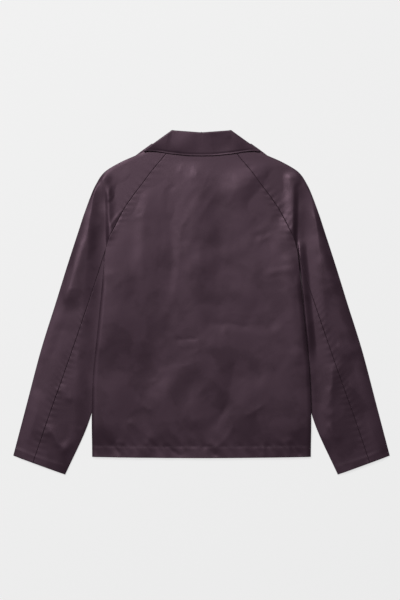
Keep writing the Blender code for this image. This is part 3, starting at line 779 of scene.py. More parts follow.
class Graph:
    """The nodes of one material round its one shader."""

    thread_bend: float = 0.6

    def __init__(self, name: str) -> None:
        """Starts a material with an empty Principled shader."""
        self.material = bpy.data.materials.new(name)
        self.material.use_nodes = True
        self.tree = self.material.node_tree
        self.shader = self.tree.nodes["Principled BSDF"]

    def put(self, socket: bpy.types.NodeSocket, value: Any) -> None:
        """Links a wire to a socket, or sets a plain value on it.

        Args:
            socket: The socket.
            value: The wire or the value.
        """
        if isinstance(value, Wire):
            self.tree.links.new(value.socket, socket)
        else:
            socket.default_value = value

    def node(self, kind: str, settings: dict[str, Any], sockets: dict[Any, Any], output: Any = 0) -> Wire:
        """Adds a node.

        Args:
            kind: The node's type.
            settings: Its own settings, which are set first.
            sockets: Values or wires by the input's name or number.
            output: The output's name or number.

        Returns:
            The output as a wire.
        """
        made = self.tree.nodes.new(kind)
        for name, value in settings.items():
            setattr(made, name, value)
        for key, value in sockets.items():
            self.put(made.inputs[key], value)
        return Wire(self, made.outputs[output])

    def places(self) -> Wire:
        """Places on the piece in the frame's metres."""
        return self.node("ShaderNodeTexCoord", {}, {}, "Object")

    def noise(self, scale: float, detail: float) -> Wire:
        """Cloudy values from 0 to 1, with so many clouds to a metre."""
        sockets = {"Vector": self.places(), "Scale": scale, "Detail": detail}
        return self.node("ShaderNodeTexNoise", {}, sockets)

    def patches(self, scale: float, detail: float, start: float, end: float) -> Wire:
        """Ragged patches: cloudy values drawn apart to 0 and 1 between two limits."""
        sockets = {"Value": self.noise(scale, detail), "From Min": start, "From Max": end}
        return self.node("ShaderNodeMapRange", {"interpolation_type": "SMOOTHSTEP"}, sockets)

    def bands(self, scale: float, turn: float) -> Wire:
        """Fine parallel threads, turned about the height."""
        turned = self.node(
            "ShaderNodeVectorRotate", {"rotation_type": "Z_AXIS"}, {"Vector": self.places(), "Angle": turn}
        )
        sockets = {"Vector": turned, "Scale": scale, "Distortion": self.thread_bend}
        return self.node("ShaderNodeTexWave", {}, sockets)

    def blend(self, factor: Wire, first: tuple[float, ...], second: tuple[float, ...]) -> Wire:
        """A colour between two colours."""
        sockets = {0: factor, 6: (*first, 1.0), 7: (*second, 1.0)}
        return self.node("ShaderNodeMix", {"data_type": "RGBA"}, sockets, 2)

    def bump(self, height: Wire, strength: float, distance: float) -> Wire:
        """A surface roughened by a height."""
        sockets = {"Height": height, "Strength": strength, "Distance": distance}
        return self.node("ShaderNodeBump", {}, sockets)

    def shade(self, sockets: dict[str, Any]) -> bpy.types.Material:
        """Sets or links the shader's sockets and hands over the material.

        Args:
            sockets: Values or wires by the socket's name.

        Returns:
            The material.
        """
        for name, value in sockets.items():
            self.put(self.shader.inputs[name], value)
        return self.material


@dataclass(frozen=True)
class SatinFinish:
    """Dark plum satin: smooth threads that gleam in the cloth's own colour. Its base colour carries painted
    sheen mottle in random cloudy patches, over the weave's own tone from threads and slubs.
    """

    name: str = "plum_satin"
    dark: tuple[float, float, float] = (0.0225, 0.0119, 0.0184)
    light: tuple[float, float, float] = (0.0300, 0.0163, 0.0249)
    roughness: float = 0.47
    roughness_spread: float = 0.12
    specular: float = 0.44
    gleam: tuple[float, float, float] = (1.0, 0.66, 0.84)
    sheen: float = 0.06
    sheen_roughness: float = 0.45
    cloud_scale: float = 16.0
    cloud_detail: float = 4.0
    sheen_cloud_share: float = 0.20
    patch_scale: float = 15.0
    patch_detail: float = 6.0
    sheen_patch_share: float = 0.65
    patch_from: float = 0.44
    patch_to: float = 0.56
    thread_scale: float = 420.0
    thread_turn: float = 0.9
    thread_share: float = 0.08
    thread_height: float = 0.5
    slub_scale: float = 900.0
    slub_detail: float = 2.0
    slub_share: float = 0.07
    slub_height: float = 0.5
    middle_shade: float = 0.5
    bump_strength: float = 0.10
    bump_distance: float = 0.0002

    def make(self) -> bpy.types.Material:
        """The finish as a material."""
        graph = Graph(self.name)
        cloud = graph.noise(self.cloud_scale, self.cloud_detail)
        threads = graph.bands(self.thread_scale, self.thread_turn)
        slubs = graph.noise(self.slub_scale, self.slub_detail)
        patches = graph.patches(self.patch_scale, self.patch_detail, self.patch_from, self.patch_to)
        # Cloud and patches paint sheen mottle into the base colour and also vary the roughness; threads and
        # slubs are the weave's own tone
        shade = cloud * self.sheen_cloud_share + patches * self.sheen_patch_share
        shade = shade + threads * self.thread_share + slubs * self.slub_share
        height = threads * self.thread_height + slubs * self.slub_height
        return graph.shade(
            {
                "Base Color": graph.blend(shade, self.dark, self.light),
                "Roughness": self.roughness + (shade - self.middle_shade) * self.roughness_spread,
                "Specular IOR Level": self.specular,
                "Specular Tint": (*self.gleam, 1.0),
                "Sheen Weight": self.sheen,
                "Sheen Roughness": self.sheen_roughness,
                "Sheen Tint": (*self.gleam, 1.0),
                "Normal": graph.bump(height, self.bump_strength, self.bump_distance),
            }
        )


@dataclass(frozen=True)
class ThreadFinish:
    """Sewing thread, less glossy than the cloth, coloured darker than the cloth as painted shade along the
    stitched groove.
    """

    name: str = "plum_thread_painted_shade"
    # Darker than the satin: painted shade of the groove along each row of stitches
    dark: tuple[float, float, float] = (0.011, 0.0058, 0.0088)
    light: tuple[float, float, float] = (0.019, 0.0104, 0.0152)
    roughness: float = 0.55
    roughness_spread: float = 0.1
    twist_scale: float = 700.0
    twist_turn: float = 0.8

    def make(self) -> bpy.types.Material:
        """The finish as a material."""
        graph = Graph(self.name)
        twist = graph.bands(self.twist_scale, self.twist_turn)
        return graph.shade(
            {
                "Base Color": graph.blend(twist, self.dark, self.light),
                "Roughness": self.roughness + twist * self.roughness_spread,
            }
        )


@dataclass(frozen=True)
class TapeFinish:
    """Woven zip tape with ribs along it."""

    name: str = "dark_tape"
    dark: tuple[float, float, float] = (0.020, 0.013, 0.017)
    light: tuple[float, float, float] = (0.040, 0.026, 0.034)
    roughness: float = 0.72
    roughness_spread: float = 0.15
    rib_scale: float = 300.0
    weave_scale: float = 1100.0
    weave_detail: float = 2.0
    weave_share: float = 0.4
    weave_height: float = 0.3
    bump_strength: float = 0.35
    bump_distance: float = 0.0003

    def make(self) -> bpy.types.Material:
        """The finish as a material."""
        graph = Graph(self.name)
        ribs = graph.bands(self.rib_scale, 0.0)
        weave = graph.noise(self.weave_scale, self.weave_detail)
        colour = ribs * (1.0 - self.weave_share) + weave * self.weave_share
        height = ribs * (1.0 - self.weave_height) + weave * self.weave_height
        return graph.shade(
            {
                "Base Color": graph.blend(colour, self.dark, self.light),
                "Roughness": self.roughness + weave * self.roughness_spread,
                "Normal": graph.bump(height, self.bump_strength, self.bump_distance),
            }
        )


@dataclass(frozen=True)
class MetalFinish:
    """Dull nickel of the zip, faintly brushed."""

    name: str = "dull_nickel"
    dark: tuple[float, float, float] = (0.34, 0.33, 0.34)
    light: tuple[float, float, float] = (0.47, 0.46, 0.47)
    roughness: float = 0.30
    roughness_spread: float = 0.15
    brush_scale: float = 900.0
    brush_detail: float = 3.0

    def make(self) -> bpy.types.Material:
        """The finish as a material."""
        graph = Graph(self.name)
        brushed = graph.noise(self.brush_scale, self.brush_detail)
        return graph.shade(
            {
                "Base Color": graph.blend(brushed, self.dark, self.light),
                "Roughness": self.roughness + brushed * self.roughness_spread,
                "Metallic": 1.0,
            }
        )


@dataclass(frozen=True)
class FloorFinish:
    """A plain pale studio floor."""

    name: str = "pale_floor"
    dark: tuple[float, float, float] = (0.14, 0.14, 0.14)
    light: tuple[float, float, float] = (0.145, 0.145, 0.145)
    roughness: float = 0.9
    specular: float = 0.1
    glow: float = 0.725
    cloud_scale: float = 3.0
    cloud_detail: float = 2.0

    def make(self) -> bpy.types.Material:
        """The finish as a material."""
        graph = Graph(self.name)
        cloud = graph.noise(self.cloud_scale, self.cloud_detail)
        return graph.shade(
            {
                "Base Color": graph.blend(cloud, self.dark, self.light),
                "Roughness": self.roughness,
                "Specular IOR Level": self.specular,
                "Emission Color": (1.0, 1.0, 1.0, 1.0),
                "Emission Strength": self.glow,
            }
        )


def stations(breaks: Sequence[float], counts: Sequence[int], rim: Sequence[float]) -> Array:
    """Places along a piece through some fixed ones, with extra places close to both ends.

    Args:
        breaks: The fixed places, in order.
        counts: Even steps from each fixed place to the next.
        rim: Distances of the extra places from each end.

    Returns:
        All the places, each once.
    """
    parts = [np.linspace(a, b, n + 1) for a, b, n in zip(breaks, breaks[1:], counts)]
    turn = math.copysign(1.0, breaks[-1] - breaks[0])
    parts.append(breaks[0] + turn * np.array(rim))
    parts.append(breaks[-1] - turn * np.array(rim))
    places = np.unique(np.round(np.concatenate(parts), 4))
    return places if turn > 0.0 else places[::-1]


@dataclass
class ClothWorks:
    """What every cloth piece shares: the lay, the cloth's finish and the way a piece is dressed."""

    lay: JacketLay
    satin: bpy.types.Material
    thread: bpy.types.Material

    def dress(
        self, obj: bpy.types.Object, node: str, flat: tuple[float, float], area: float, under: str
    ) -> None:
        """Gives a cloth piece its finish and its place in the model.

        Args:
            obj: The piece.
            node: The solid that it stands for.
            flat: Width and length of the cut, in metres; not used.
            area: The cut's flat area, in square metres.
            under: What the piece lies on; not used.
        """
        obj.data.materials.append(self.satin)
        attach(obj, Body.JACKET.value)
        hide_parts(node)
        log.info("%s: %d faces, %.4f square metres", obj.name, len(obj.data.polygons), area)

    def panel(self, name: str, x: Array, y: Array, low: Array) -> tuple[bpy.types.Object, Array]:
        """A panel's shell over its underside.

        Args:
            name: The piece's name.
            x: Places across, rows by columns.
            y: Places up.
            low: Height of the underside.

        Returns:
            The object and the points of its upper face.
        """
        under = np.stack(np.broadcast_arrays(x, y, low), axis=2)
        upper = under.copy()
        upper[:, :, 2] += self.lay.cloth * rounding(rim_distance(under), self.lay.seam_round)
        return shell_object(name, upper, under), upper


def ball_template(around: int, rings: int, square: float) -> tuple[Array, Array]:
    """A small rounded block of unit half-sizes.

    Args:
        around: Faces round it.
        rings: Faces from end to end.
        square: 1 for a ball, less for a squarer block.

    Returns:
        Its points and its four-cornered faces.
    """
    turn = np.linspace(0.0, 2.0 * math.pi, around, endpoint=False)
    tilt = np.linspace(-BLOCK_POLE * math.pi, BLOCK_POLE * math.pi, rings + 1)

    def bent(value: Array) -> Array:
        """A sine or cosine pushed out towards a square."""
        return np.sign(value) * np.abs(value) ** square

    x = bent(np.sin(tilt))[:, None] * np.ones(around)
    y = bent(np.cos(tilt))[:, None] * bent(np.cos(turn))
    z = bent(np.cos(tilt))[:, None] * bent(np.sin(turn))
    index = np.arange((rings + 1) * around).reshape(rings + 1, around)
    wrapped = np.concatenate([index, index[:, :1]], axis=1)
    return np.stack([x, y, z], axis=2).reshape(-1, 3), grid_quads(wrapped)[:, ::-1]


def repeat_along(
    name: str, centres: Array, along: Array, half: Sequence[float], square: float
) -> bpy.types.Object:
    """Many small rounded blocks in one mesh, each turned to its own direction.

    Args:
        name: The piece's name.
        centres: The blocks' middles.
        along: The direction of each block's length.
        half: Half the length, width and height.
        square: 1 for a ball, less for a squarer block.

    Returns:
        The object.
    """
    points, quads = ball_template(BLOCK_AROUND, BLOCK_RINGS, square)
    forward = along / np.linalg.norm(along, axis=1, keepdims=True)
    aside = np.cross(np.array([0.0, 0.0, 1.0]), forward)
    aside = aside / np.linalg.norm(aside, axis=1, keepdims=True)
    upward = np.cross(forward, aside)
    sized = points * np.array(half)
    axes = np.stack([forward, aside, upward], axis=1)
    placed = centres[:, None, :] + np.einsum("pk,nkj->npj", sized, axes)
    faces = quads[None] + (np.arange(len(centres)) * len(points))[:, None, None]
    return mesh_object(name, placed.reshape(-1, 3), faces.reshape(-1, 4))


@dataclass(frozen=True)
class Stitching:
    """A row of machine stitches on a line of the cloth."""

    pitch: float = 3.4
    length: float = 2.5
    width: float = 0.55
    height: float = 0.4
    sunk: float = 0.05
    square: float = 0.8

    def sew(self, name: str, path: Array, works: ClothWorks) -> None:
        """Sews along a line.

        Args:
            name: The piece's name.
            path: Points of the line on the cloth's upper face.
            works: The cloth's shared finishes.
        """
        steps = np.linalg.norm(np.diff(path, axis=0), axis=1)
        run = np.concatenate([[0.0], np.cumsum(steps)])
        count = int(run[-1] / self.pitch)
        at = (np.arange(count) + 0.5) * self.pitch
        half = self.length / 2.0

        def on_path(where: Array) -> Array:
            """Points at distances along the line."""
            return np.stack([np.interp(where, run, path[:, k]) for k in range(3)], axis=1)

        centres = on_path(at) - np.array([0.0, 0.0, self.sunk])
        half_sizes = (half, self.width / 2.0, self.height / 2.0)
        made = repeat_along(name, centres, on_path(at + half) - on_path(at - half), half_sizes, self.square)
        made.data.materials.append(works.thread)
        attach(made, Body.JACKET.value)
        log.info("%s: %d stitches", name, count)


@dataclass(frozen=True)
class SewnBand:
    """A turned-up band along a hem or cuff: thicker, with a stitched groove at its top."""

    depth: float
    extra: float = 0.4
    lean: float = 0.0
    groove: float = 0.35
    groove_width: float = 1.5
    step: float = 3.0

    def rise(self, distance: Array) -> Array:
        """Height over the plain cloth at a distance from the edge.

        Args:
            distance: Distance from the edge.

        Returns:
            The height there.
        """
        band = self.extra * (1.0 - ease((distance - self.depth) / self.step))
        band = band + self.lean * np.clip(1.0 - distance / self.depth, 0.0, 1.0)
        return band - self.groove * np.exp(-(((distance - self.depth) / self.groove_width) ** 2))


@dataclass(frozen=True)
class SeamPucker:
    """The small uneven gathers beside a sewn seam."""

    height: float = 0.20
    reach: float = 9.0
    length: float = 13.0
    drift: float = 1.7
    sway: float = 2.3

    def rise(self, distance: Array, along: Array) -> Array:
        """Height beside a seam.

        Args:
            distance: Distance from the seam.
            along: Place along the seam.

        Returns:
            The rise or fall there.
        """
        drifted = self.drift * np.sin(along / (self.sway * self.length))
        wave = np.sin(2.0 * math.pi * along / self.length + drifted)
        return self.height * wave * np.exp(-distance / self.reach)


HEM_BAND = SewnBand(depth=24.0, lean=1.0)
CUFF_BAND = SewnBand(depth=18.0)
PUCKER = SeamPucker()
HEM_PUCKER = SeamPucker(height=0.55, reach=11.0, length=27.0, drift=2.6)
HEM_PUCKER_SLANT = 0.8


@dataclass
class BodyPanels:
    """The back panel and the two front panels under it."""

    works: ClothWorks
    back_columns: int = 150
    back_rows: tuple[int, int, int] = (9, 138, 74)
    front_columns: int = 60
    front_rows: tuple[int, int, int] = (6, 70, 34)
    back_flat: tuple[float, float] = (0.461, 0.648)
    front_flat: tuple[float, float] = (0.2255, 0.6125)

    def build(self) -> None:
        """Makes the three panels and the hem's stitches."""
        self.make_back()
        for side in Side:
            self.make_front(side)

    def hem_rise(self, out: Array, y: Array) -> Array:
        """How far the hem's corners are drawn up, fading above the hem.

        Args:
            out: Share of the way out to the side.
            y: Places up the jacket.

        Returns:
            The rise at each place.
        """
        lay = self.works.lay
        fade = np.clip(1.0 - (y - lay.hem_y) / lay.side_lift_hem_run, 0.0, 1.0)
        return lay.hem_corner_rise * out**2 * fade

    def make_back(self) -> None:
        """The back panel, over the fronts, the sleeves' inner edges and the collar's stand."""
        lay = self.works.lay
        breaks = (lay.hem_y, lay.hem_y + HEM_BAND.depth, lay.armpit_y, lay.neck_y)
        row_y = stations(breaks, self.back_rows, RIM_STEPS)[:, None]
        shares = crowded_shares(self.back_columns, 2.0 * lay.half_width(lay.hem_y), RIM_STEPS)
        out = (shares * 2.0 - 1.0)[None]
        half = lay.half_width(row_y)
        x = out * half
        fall = ease((row_y - lay.collar_flat_y) / (lay.neck_y - lay.collar_flat_y))
        y = row_y + self.hem_rise(out, row_y) - lay.neck_dip * (1.0 - out**2) * fall
        low = lay.neck_lift(row_y) + lay.upper_lift(x, row_y) + lay.cloth + lay.seam_gap
        low = low + lay.loft(x, row_y, lay.body_swell(x, row_y), BACK_CREASES)
        above = ease((row_y - lay.armpit_y) / PUCKER.length)
        above = above * ease((lay.collar_flat_y - row_y) / PUCKER.length)
        low = low + PUCKER.rise(half - np.abs(x), row_y) * above + HEM_BAND.rise(row_y - lay.hem_y)
        from_stitch = np.abs(row_y - lay.hem_y - HEM_BAND.depth)
        inside = ease((half - np.abs(x)) / HEM_PUCKER.length)
        low = low + HEM_PUCKER.rise(from_stitch, x + HEM_PUCKER_SLANT * row_y) * inside
        obj, upper = self.works.panel("back_panel", x, y, low)
        self.works.dress(obj, "back", self.back_flat, cut_area(upper[:, :, :2]), "front_left")
        stitched = int(np.argmin(np.abs(row_y[:, 0] - lay.hem_y - HEM_BAND.depth)))
        Stitching().sew("hem_stitches", upper[stitched, EDGE_MARGIN:-EDGE_MARGIN], self.works)

    def make_front(self, side: Side) -> None:
        """A front panel, on the floor from the zip out to the side.

        Args:
            side: The side that it is on.
        """
        lay = self.works.lay
        breaks = (0.0, HEM_BAND.depth, lay.side_length, lay.side_length + lay.front_raglan)
        up = stations(breaks, self.front_rows, RIM_STEPS)[:, None]
        raglan = np.clip((up - lay.side_length) / lay.front_raglan, 0.0, 1.0)
        below = mix(lay.hem_y, lay.armpit_y, np.clip(up / lay.side_length, 0.0, 1.0))
        seam_y = below + lay.front_raglan * raglan
        centre_y = below + (lay.front_neck_y - lay.armpit_y) * raglan
        out = crowded_shares(self.front_columns, lay.half_width(lay.hem_y), RIM_STEPS)[None]
        x = mix(lay.front_opening, lay.half_width(seam_y), out)
        flat_y = mix(centre_y, seam_y, out**2)
        y = flat_y + self.hem_rise(out, seam_y)
        inside = ease(rim_distance(np.stack([x, y], axis=2)) / lay.floor_crease_fade)
        low = lay.floor_side(x, flat_y) + fold_field(FLOOR_CREASES, side.value * x, y) * inside
        obj, upper = self.works.panel(f"front_panel_{side.label}", side.value * x, y, low)
        self.works.dress(obj, f"front_{side.label}", self.front_flat, cut_area(upper[:, :, :2]), "floor")


@dataclass
class Sleeve:
    """A raglan sleeve: its outer back piece, its under-sleeve and its front."""

    works: ClothWorks
    side: Side
    raglan_rows: int = 84
    lower_rows: tuple[int, int] = (150, 7)
    back_columns: int = 46
    under_columns: int = 40
    front_columns: int = 36
    length: float = 470.0
    piece_width: float = 60.0
    front_width: float = 100.0
    back_flat: tuple[float, float] = (0.088, 0.740)
    under_flat: tuple[float, float] = (0.078, 0.470)
    front_flat: tuple[float, float] = (0.125, 0.740)

    def build(self) -> None:
        """Makes the three pieces and the cuff's stitches."""
        upper = self.make_back()
        lower = self.make_under()
        self.make_front()
        self.sew_cuff(upper, lower)

    def line(self, name: str, down: Array) -> Array:
        """Points of one of the lower sleeve's lines, for shares from the armpit to the cuff.

        Args:
            name: The line's name.
            down: Shares of the way down.

        Returns:
            The points, on the jacket's right.
        """
        lay = self.works.lay
        x = lay.sleeve[name + "_x"].at(down)
        y = lay.sleeve[name + "_y"].at(down)
        if name == "edge":
            x = np.where(y > lay.tuck_from, np.minimum(x, lay.half_width(y) + lay.tuck_gap), x)
        return np.stack([x, y], axis=-1)

    def downs(self) -> Array:
        """Shares from just under the armpit to the cuff."""
        band = self.length - CUFF_BAND.depth
        return stations((0.0, band, self.length), self.lower_rows, RIM_STEPS)[1:] / self.length

    def rows(self, lower_line: str) -> tuple[Array, Array, Array]:
        """The two ends of every row from the neck down to the cuff.

        Args:
            lower_line: The line that the inner ends follow below the armpit.

        Returns:
            Inner ends, outer ends, and each row's distance from the cuff.
        """
        lay = self.works.lay
        seam_y = stations((lay.neck_y, lay.armpit_y), (self.raglan_rows,), FINE_RIM_STEPS)
        inner = np.stack([lay.half_width(seam_y) + lay.raglan_gap, seam_y], axis=-1)
        outer = np.stack([lay.shoulder["x"].at(seam_y), lay.shoulder["y"].at(seam_y)], axis=-1)
        down = self.downs()
        inner = np.concatenate([inner, self.line(lower_line, down)])
        outer = np.concatenate([outer, self.line("outer", down)])
        cuff = np.concatenate([self.length + seam_y - lay.armpit_y, (1.0 - down) * self.length])
        return inner, outer, cuff

    def upper_low(self, points: Array, to_edge: Array, to_seam: Array, cuff: Array) -> Array:
        """Height of the underside of a sleeve's upper layer.

        Args:
            points: Places, rows by columns by 2, on the jacket's right.
            to_edge: Distance from the sleeve's folded edge.
            to_seam: Distance from the piece's sewn edge.
            cuff: Distance of each row from the cuff.

        Returns:
            The heights.
        """
        lay = self.works.lay
        x = self.side.value * points[:, :, 0]
        y = points[:, :, 1]
        reach = mix(1.0, lay.shoulder_reach, ease((y - lay.shoulder_reach_from) / lay.shoulder_reach_run))
        swell = np.minimum(lay.edge_swell(to_edge / reach), lay.sleeve_swell(x, y))
        lift = lay.neck_lift(y) + lay.upper_lift(x, y) * lay.valley_drop(x, y)
        low = lift + lay.cloth + lay.seam_gap + lay.loft(x, y, swell, SLEEVE_CREASES)
        flat = ease((lay.collar_flat_y - y) / PUCKER.length)
        return low + lay.roll(x, y) + PUCKER.rise(to_seam, cuff) * swell * flat + CUFF_BAND.rise(cuff)

    def upper_piece(self, word: str, points: Array, low: Array, flat: tuple[float, float]) -> Array:
        """Makes one of the two pieces of the upper layer.

        Args:
            word: The piece's word in its name.
            points: Places, on the jacket's right.
            low: Height of the underside.
            flat: Width and length of the cut, in metres.

        Returns:
            The points of its upper face.
        """
        name = f"sleeve_{word}_{self.side.label}"
        x = self.side.value * points[:, :, 0]
        obj, upper = self.works.panel(name + "_cloth", x, points[:, :, 1], low)
        under = f"sleeve_front_{self.side.label}"
        self.works.dress(obj, name, flat, cut_area(upper[:, :, :2]), under)
        return upper

    def make_back(self) -> Array:
        """The outer back piece, from its seams across to the outer edge."""
        inner, outer, cuff = self.rows("seam")
        share = crowded_shares(self.back_columns, self.piece_width, RIM_STEPS)[None, :, None]
        points = mix(inner[:, None], outer[:, None], share)
        to_edge = np.linalg.norm(outer[:, None] - points, axis=2)
        to_seam = np.linalg.norm(points - inner[:, None], axis=2)
        low = self.upper_low(points, to_edge, to_seam, cuff[:, None])
        return self.upper_piece("back", points, low, self.back_flat)

    def make_under(self) -> Array:
        """The under-sleeve, from the inner edge across to the back seam."""
        lay = self.works.lay
        down = mix(lay.under_sleeve_from, 1.0, np.concatenate([[0.0], self.downs()]))
        edge = self.line("edge", down)[:, None]
        seam = self.line("seam", down)[:, None]
        width = np.linalg.norm(seam - edge, axis=2, keepdims=True)
        share = crowded_shares(self.under_columns, self.piece_width, RIM_STEPS)[None, :, None]
        points = edge + (seam - edge) * share * (1.0 - lay.raglan_gap / width)
        to_edge = np.linalg.norm(points - edge, axis=2)
        to_seam = np.linalg.norm(seam - points, axis=2)
        low = self.upper_low(points, to_edge, to_seam, ((1.0 - down) * self.length)[:, None])
        return self.upper_piece("under", points, low, self.under_flat)

    def make_front(self) -> None:
        """The sleeve's front, on the floor from the inner to the outer edge."""
        lay = self.works.lay
        inner, outer, _ = self.rows("edge")
        down = (lay.neck_y - inner[:, 1]) / (lay.neck_y - lay.armpit_y)
        neck = np.clip(down / (1.0 - lay.front_neck_share), 0.0, 1.0)
        neck[inner[:, 1] < lay.armpit_y] = 1.0
        seam_y = mix(lay.armpit_y, lay.neck_y, lay.front_neck_share)
        seam_end = np.array([lay.half_width(seam_y) + lay.raglan_gap, seam_y])
        corner = np.array([lay.front_neck_corner_x, lay.neck_point_y])
        above = (neck < 1.0)[:, None]
        inner = np.where(above, mix(corner, seam_end, neck[:, None]), inner)
        reach = np.array([lay.front_neck_reach, 0.0])
        outer = outer + reach * (1.0 - neck[:, None])
        share = crowded_shares(self.front_columns, self.front_width, RIM_STEPS)[None, :, None]
        points = mix(inner[:, None], outer[:, None], share)
        x = self.side.value * points[:, :, 0]
        y = points[:, :, 1]
        inside = ease(rim_distance(points) / lay.floor_crease_fade)
        low = lay.neck_lift(y) + fold_field(FLOOR_CREASES, x, y) * inside
        name = f"sleeve_front_{self.side.label}"
        obj, upper = self.works.panel(name + "_cloth", x, y, low)
        self.works.dress(obj, name, self.front_flat, cut_area(upper[:, :, :2]), "floor")

    def sew_cuff(self, back: Array, under: Array) -> None:
        """The stitches at the top of the cuff's band, across both upper pieces.

        Args:
            back: Upper face of the outer back piece.
            under: Upper face of the under-sleeve.
        """
        row = -1 - int(np.argmin(np.abs((1.0 - self.downs()[::-1]) * self.length - CUFF_BAND.depth)))
        path = np.concatenate([under[row, EDGE_MARGIN:-SEAM_MARGIN], back[row, SEAM_MARGIN:-EDGE_MARGIN]])
        Stitching().sew(f"cuff_stitches_{self.side.label}", path, self.works)


COLLAR_COLUMNS = ("along", "fold_x", "fold_y", "leaf_x", "leaf_y", "stand_x", "stand_y")


@dataclass
class Collar:
    """The folded collar: its back length over the shoulders and its two front halves."""

    works: ClothWorks
    cloth: float = 1.6
    back_leaf_z: float = 8.7
    back_stand_z: float = 5.7
    end_rise: float = 2.1
    end_from: float = 0.7
    front_leaf_z: float = 0.8
    front_stand_z: float = 3.5
    crown: float = 0.2
    crown_length: float = 40.0
    fold_rise: float = 4.6
    groove: float = 0.5
    groove_at: float = 3.6
    groove_width: float = 1.7
    turn_step: float = 0.03
    leaf_rows: int = 34
    fold_rows: int = 12
    stand_rows: int = 14
    back_columns: int = 150
    front_columns: int = 60
    leaf_width: float = 46.0
    stand_width: float = 20.0
    back_length: float = 250.0
    front_length: float = 150.0
    stitched_row: int = 5
    stitched_share: float = 0.9
    back_flat: tuple[float, float] = (0.265, 0.105)
    front_flat: tuple[float, float] = (0.175, 0.100)
    back_lines: dict[str, Curve] = field(
        default_factory=lambda: curves(
            COLLAR_COLUMNS,
            (
                (0.00, 0.0, 357.0, 0.0, 307.6, 0.0, 315.9),
                (0.25, 31.0, 359.3, 30.0, 308.4, 30.2, 317.4),
                (0.46, 57.2, 361.2, 60.0, 311.4, 59.5, 320.8),
                (0.50, 62.0, 361.8, 66.0, 312.2, 65.2, 322.2),
                (0.54, 66.4, 358.7, 71.5, 312.9, 70.3, 325.4),
                (0.65, 78.0, 350.5, 84.0, 315.0, 81.7, 334.4),
                (0.82, 99.0, 335.5, 101.0, 317.0, 97.2, 331.8),
                (0.92, 112.0, 326.4, 111.5, 317.6, 110.2, 323.2),
                (1.00, 122.5, 319.3, 119.8, 316.2, 120.6, 316.7),
            ),
        )
    )
    front_lines: dict[str, Curve] = field(
        default_factory=lambda: curves(
            COLLAR_COLUMNS,
            (
                (0.00, 66.0, 353.0, 112.0, 317.0, 81.5, 339.0),
                (0.30, 72.0, 318.0, 108.0, 272.0, 90.0, 294.5),
                (0.55, 58.0, 288.0, 90.0, 236.0, 71.0, 267.0),
                (0.80, 32.0, 268.0, 70.0, 206.0, 43.0, 249.8),
                (1.00, 6.0, 262.0, 50.0, 197.0, 9.5, 241.8),
            ),
        )
    )

    def build(self) -> None:
        """Makes the three lengths of collar and the leaf's stitches."""
        self.make_back()
        for side in Side:
            self.make_front(side)

    def ends(self, lines: dict[str, Curve], along: Array, sign: Array) -> tuple[Array, Array, Array, Array]:
        """The collar's lines at places along it.

        Args:
            lines: The curves of its fold, leaf edge and stand edge.
            along: Places from 0 to 1.
            sign: The side of each place.

        Returns:
            Fold, leaf edge and stand edge, and the way out of the fold.
        """

        def line(name: str, at: Array) -> Array:
            """Points of one line."""
            return np.stack([sign * lines[name + "_x"].at(at), lines[name + "_y"].at(at)], axis=-1)

        fold, leaf, stand = (line(name, along) for name in ("fold", "leaf", "stand"))
        before = line("fold", np.maximum(along - self.turn_step, 0.0))
        after = line("fold", np.minimum(along + self.turn_step, 1.0))
        run = after - before
        outward = np.stack([-run[:, 1], run[:, 0]], axis=-1)
        outward = outward / np.linalg.norm(outward, axis=1, keepdims=True)
        facing = np.sign(np.sum(outward * (fold - leaf), axis=1, keepdims=True))
        return fold, leaf, stand, outward * facing

    def middle(self, ends: tuple[Array, ...], leaf_z: Array, stand_z: Array, relief: float) -> Array:
        """The collar's middle surface, from the leaf's edge over the fold to the neck seam.

        Args:
            ends: What the method ends gives.
            leaf_z: Height of the leaf at each place along.
            stand_z: Height of the stand.
            relief: Share of the leaf's swell, slope, creases and groove.

        Returns:
            Points, rows by places by 3.
        """
        fold, leaf, stand, outward = ends
        radius = np.abs(leaf_z - stand_z) / 2.0
        centre = fold - outward * (radius + self.cloth / 2.0)[:, None]
        length = np.clip(np.linalg.norm(centre - leaf, axis=1) / self.crown_length, 0.0, 1.0)
        up = crowded_shares(self.leaf_rows, self.leaf_width, RIM_STEPS)[: -len(RIM_STEPS)]
        up = up / up[-1]
        turn = np.linspace(0.0, math.pi, self.fold_rows + 1)[1:-1]
        even = np.linspace(0.0, 1.0, self.stand_rows + 1)
        near_seam = 1.0 - np.array(FINE_RIM_STEPS) / self.stand_width
        in_stand = np.unique(np.concatenate([even, near_seam]))
        leaf_flat = mix(leaf[None], centre[None], up[:, None, None])
        swell = np.sin(up * math.pi)[:, None]
        dents = fold_field(COLLAR_CREASES, leaf_flat[:, :, 0], leaf_flat[:, :, 1])
        from_edge = up[:, None] * np.linalg.norm(centre - leaf, axis=1)[None]
        groove = self.groove * np.exp(-(((from_edge - self.groove_at) / self.groove_width) ** 2))
        slope = (self.fold_rise * up[:, None] - groove) * length
        leaf_rise = leaf_z + relief * (slope + (self.crown * length + dents) * swell)
        top_z = leaf_z + relief * self.fold_rise * length
        turn_flat = centre[None] + outward[None] * (radius[None] * np.sin(turn)[:, None])[:, :, None]
        turn_z = mix(stand_z[None], top_z[None], 0.5 + 0.5 * np.cos(turn)[:, None])
        stand_flat = mix(centre[None], stand[None], in_stand[:, None, None])
        stand_rise = np.broadcast_to(stand_z, stand_flat.shape[:2])
        flat = np.concatenate([leaf_flat, turn_flat, stand_flat])
        return np.concatenate([flat, np.concatenate([leaf_rise, turn_z, stand_rise])[:, :, None]], axis=2)

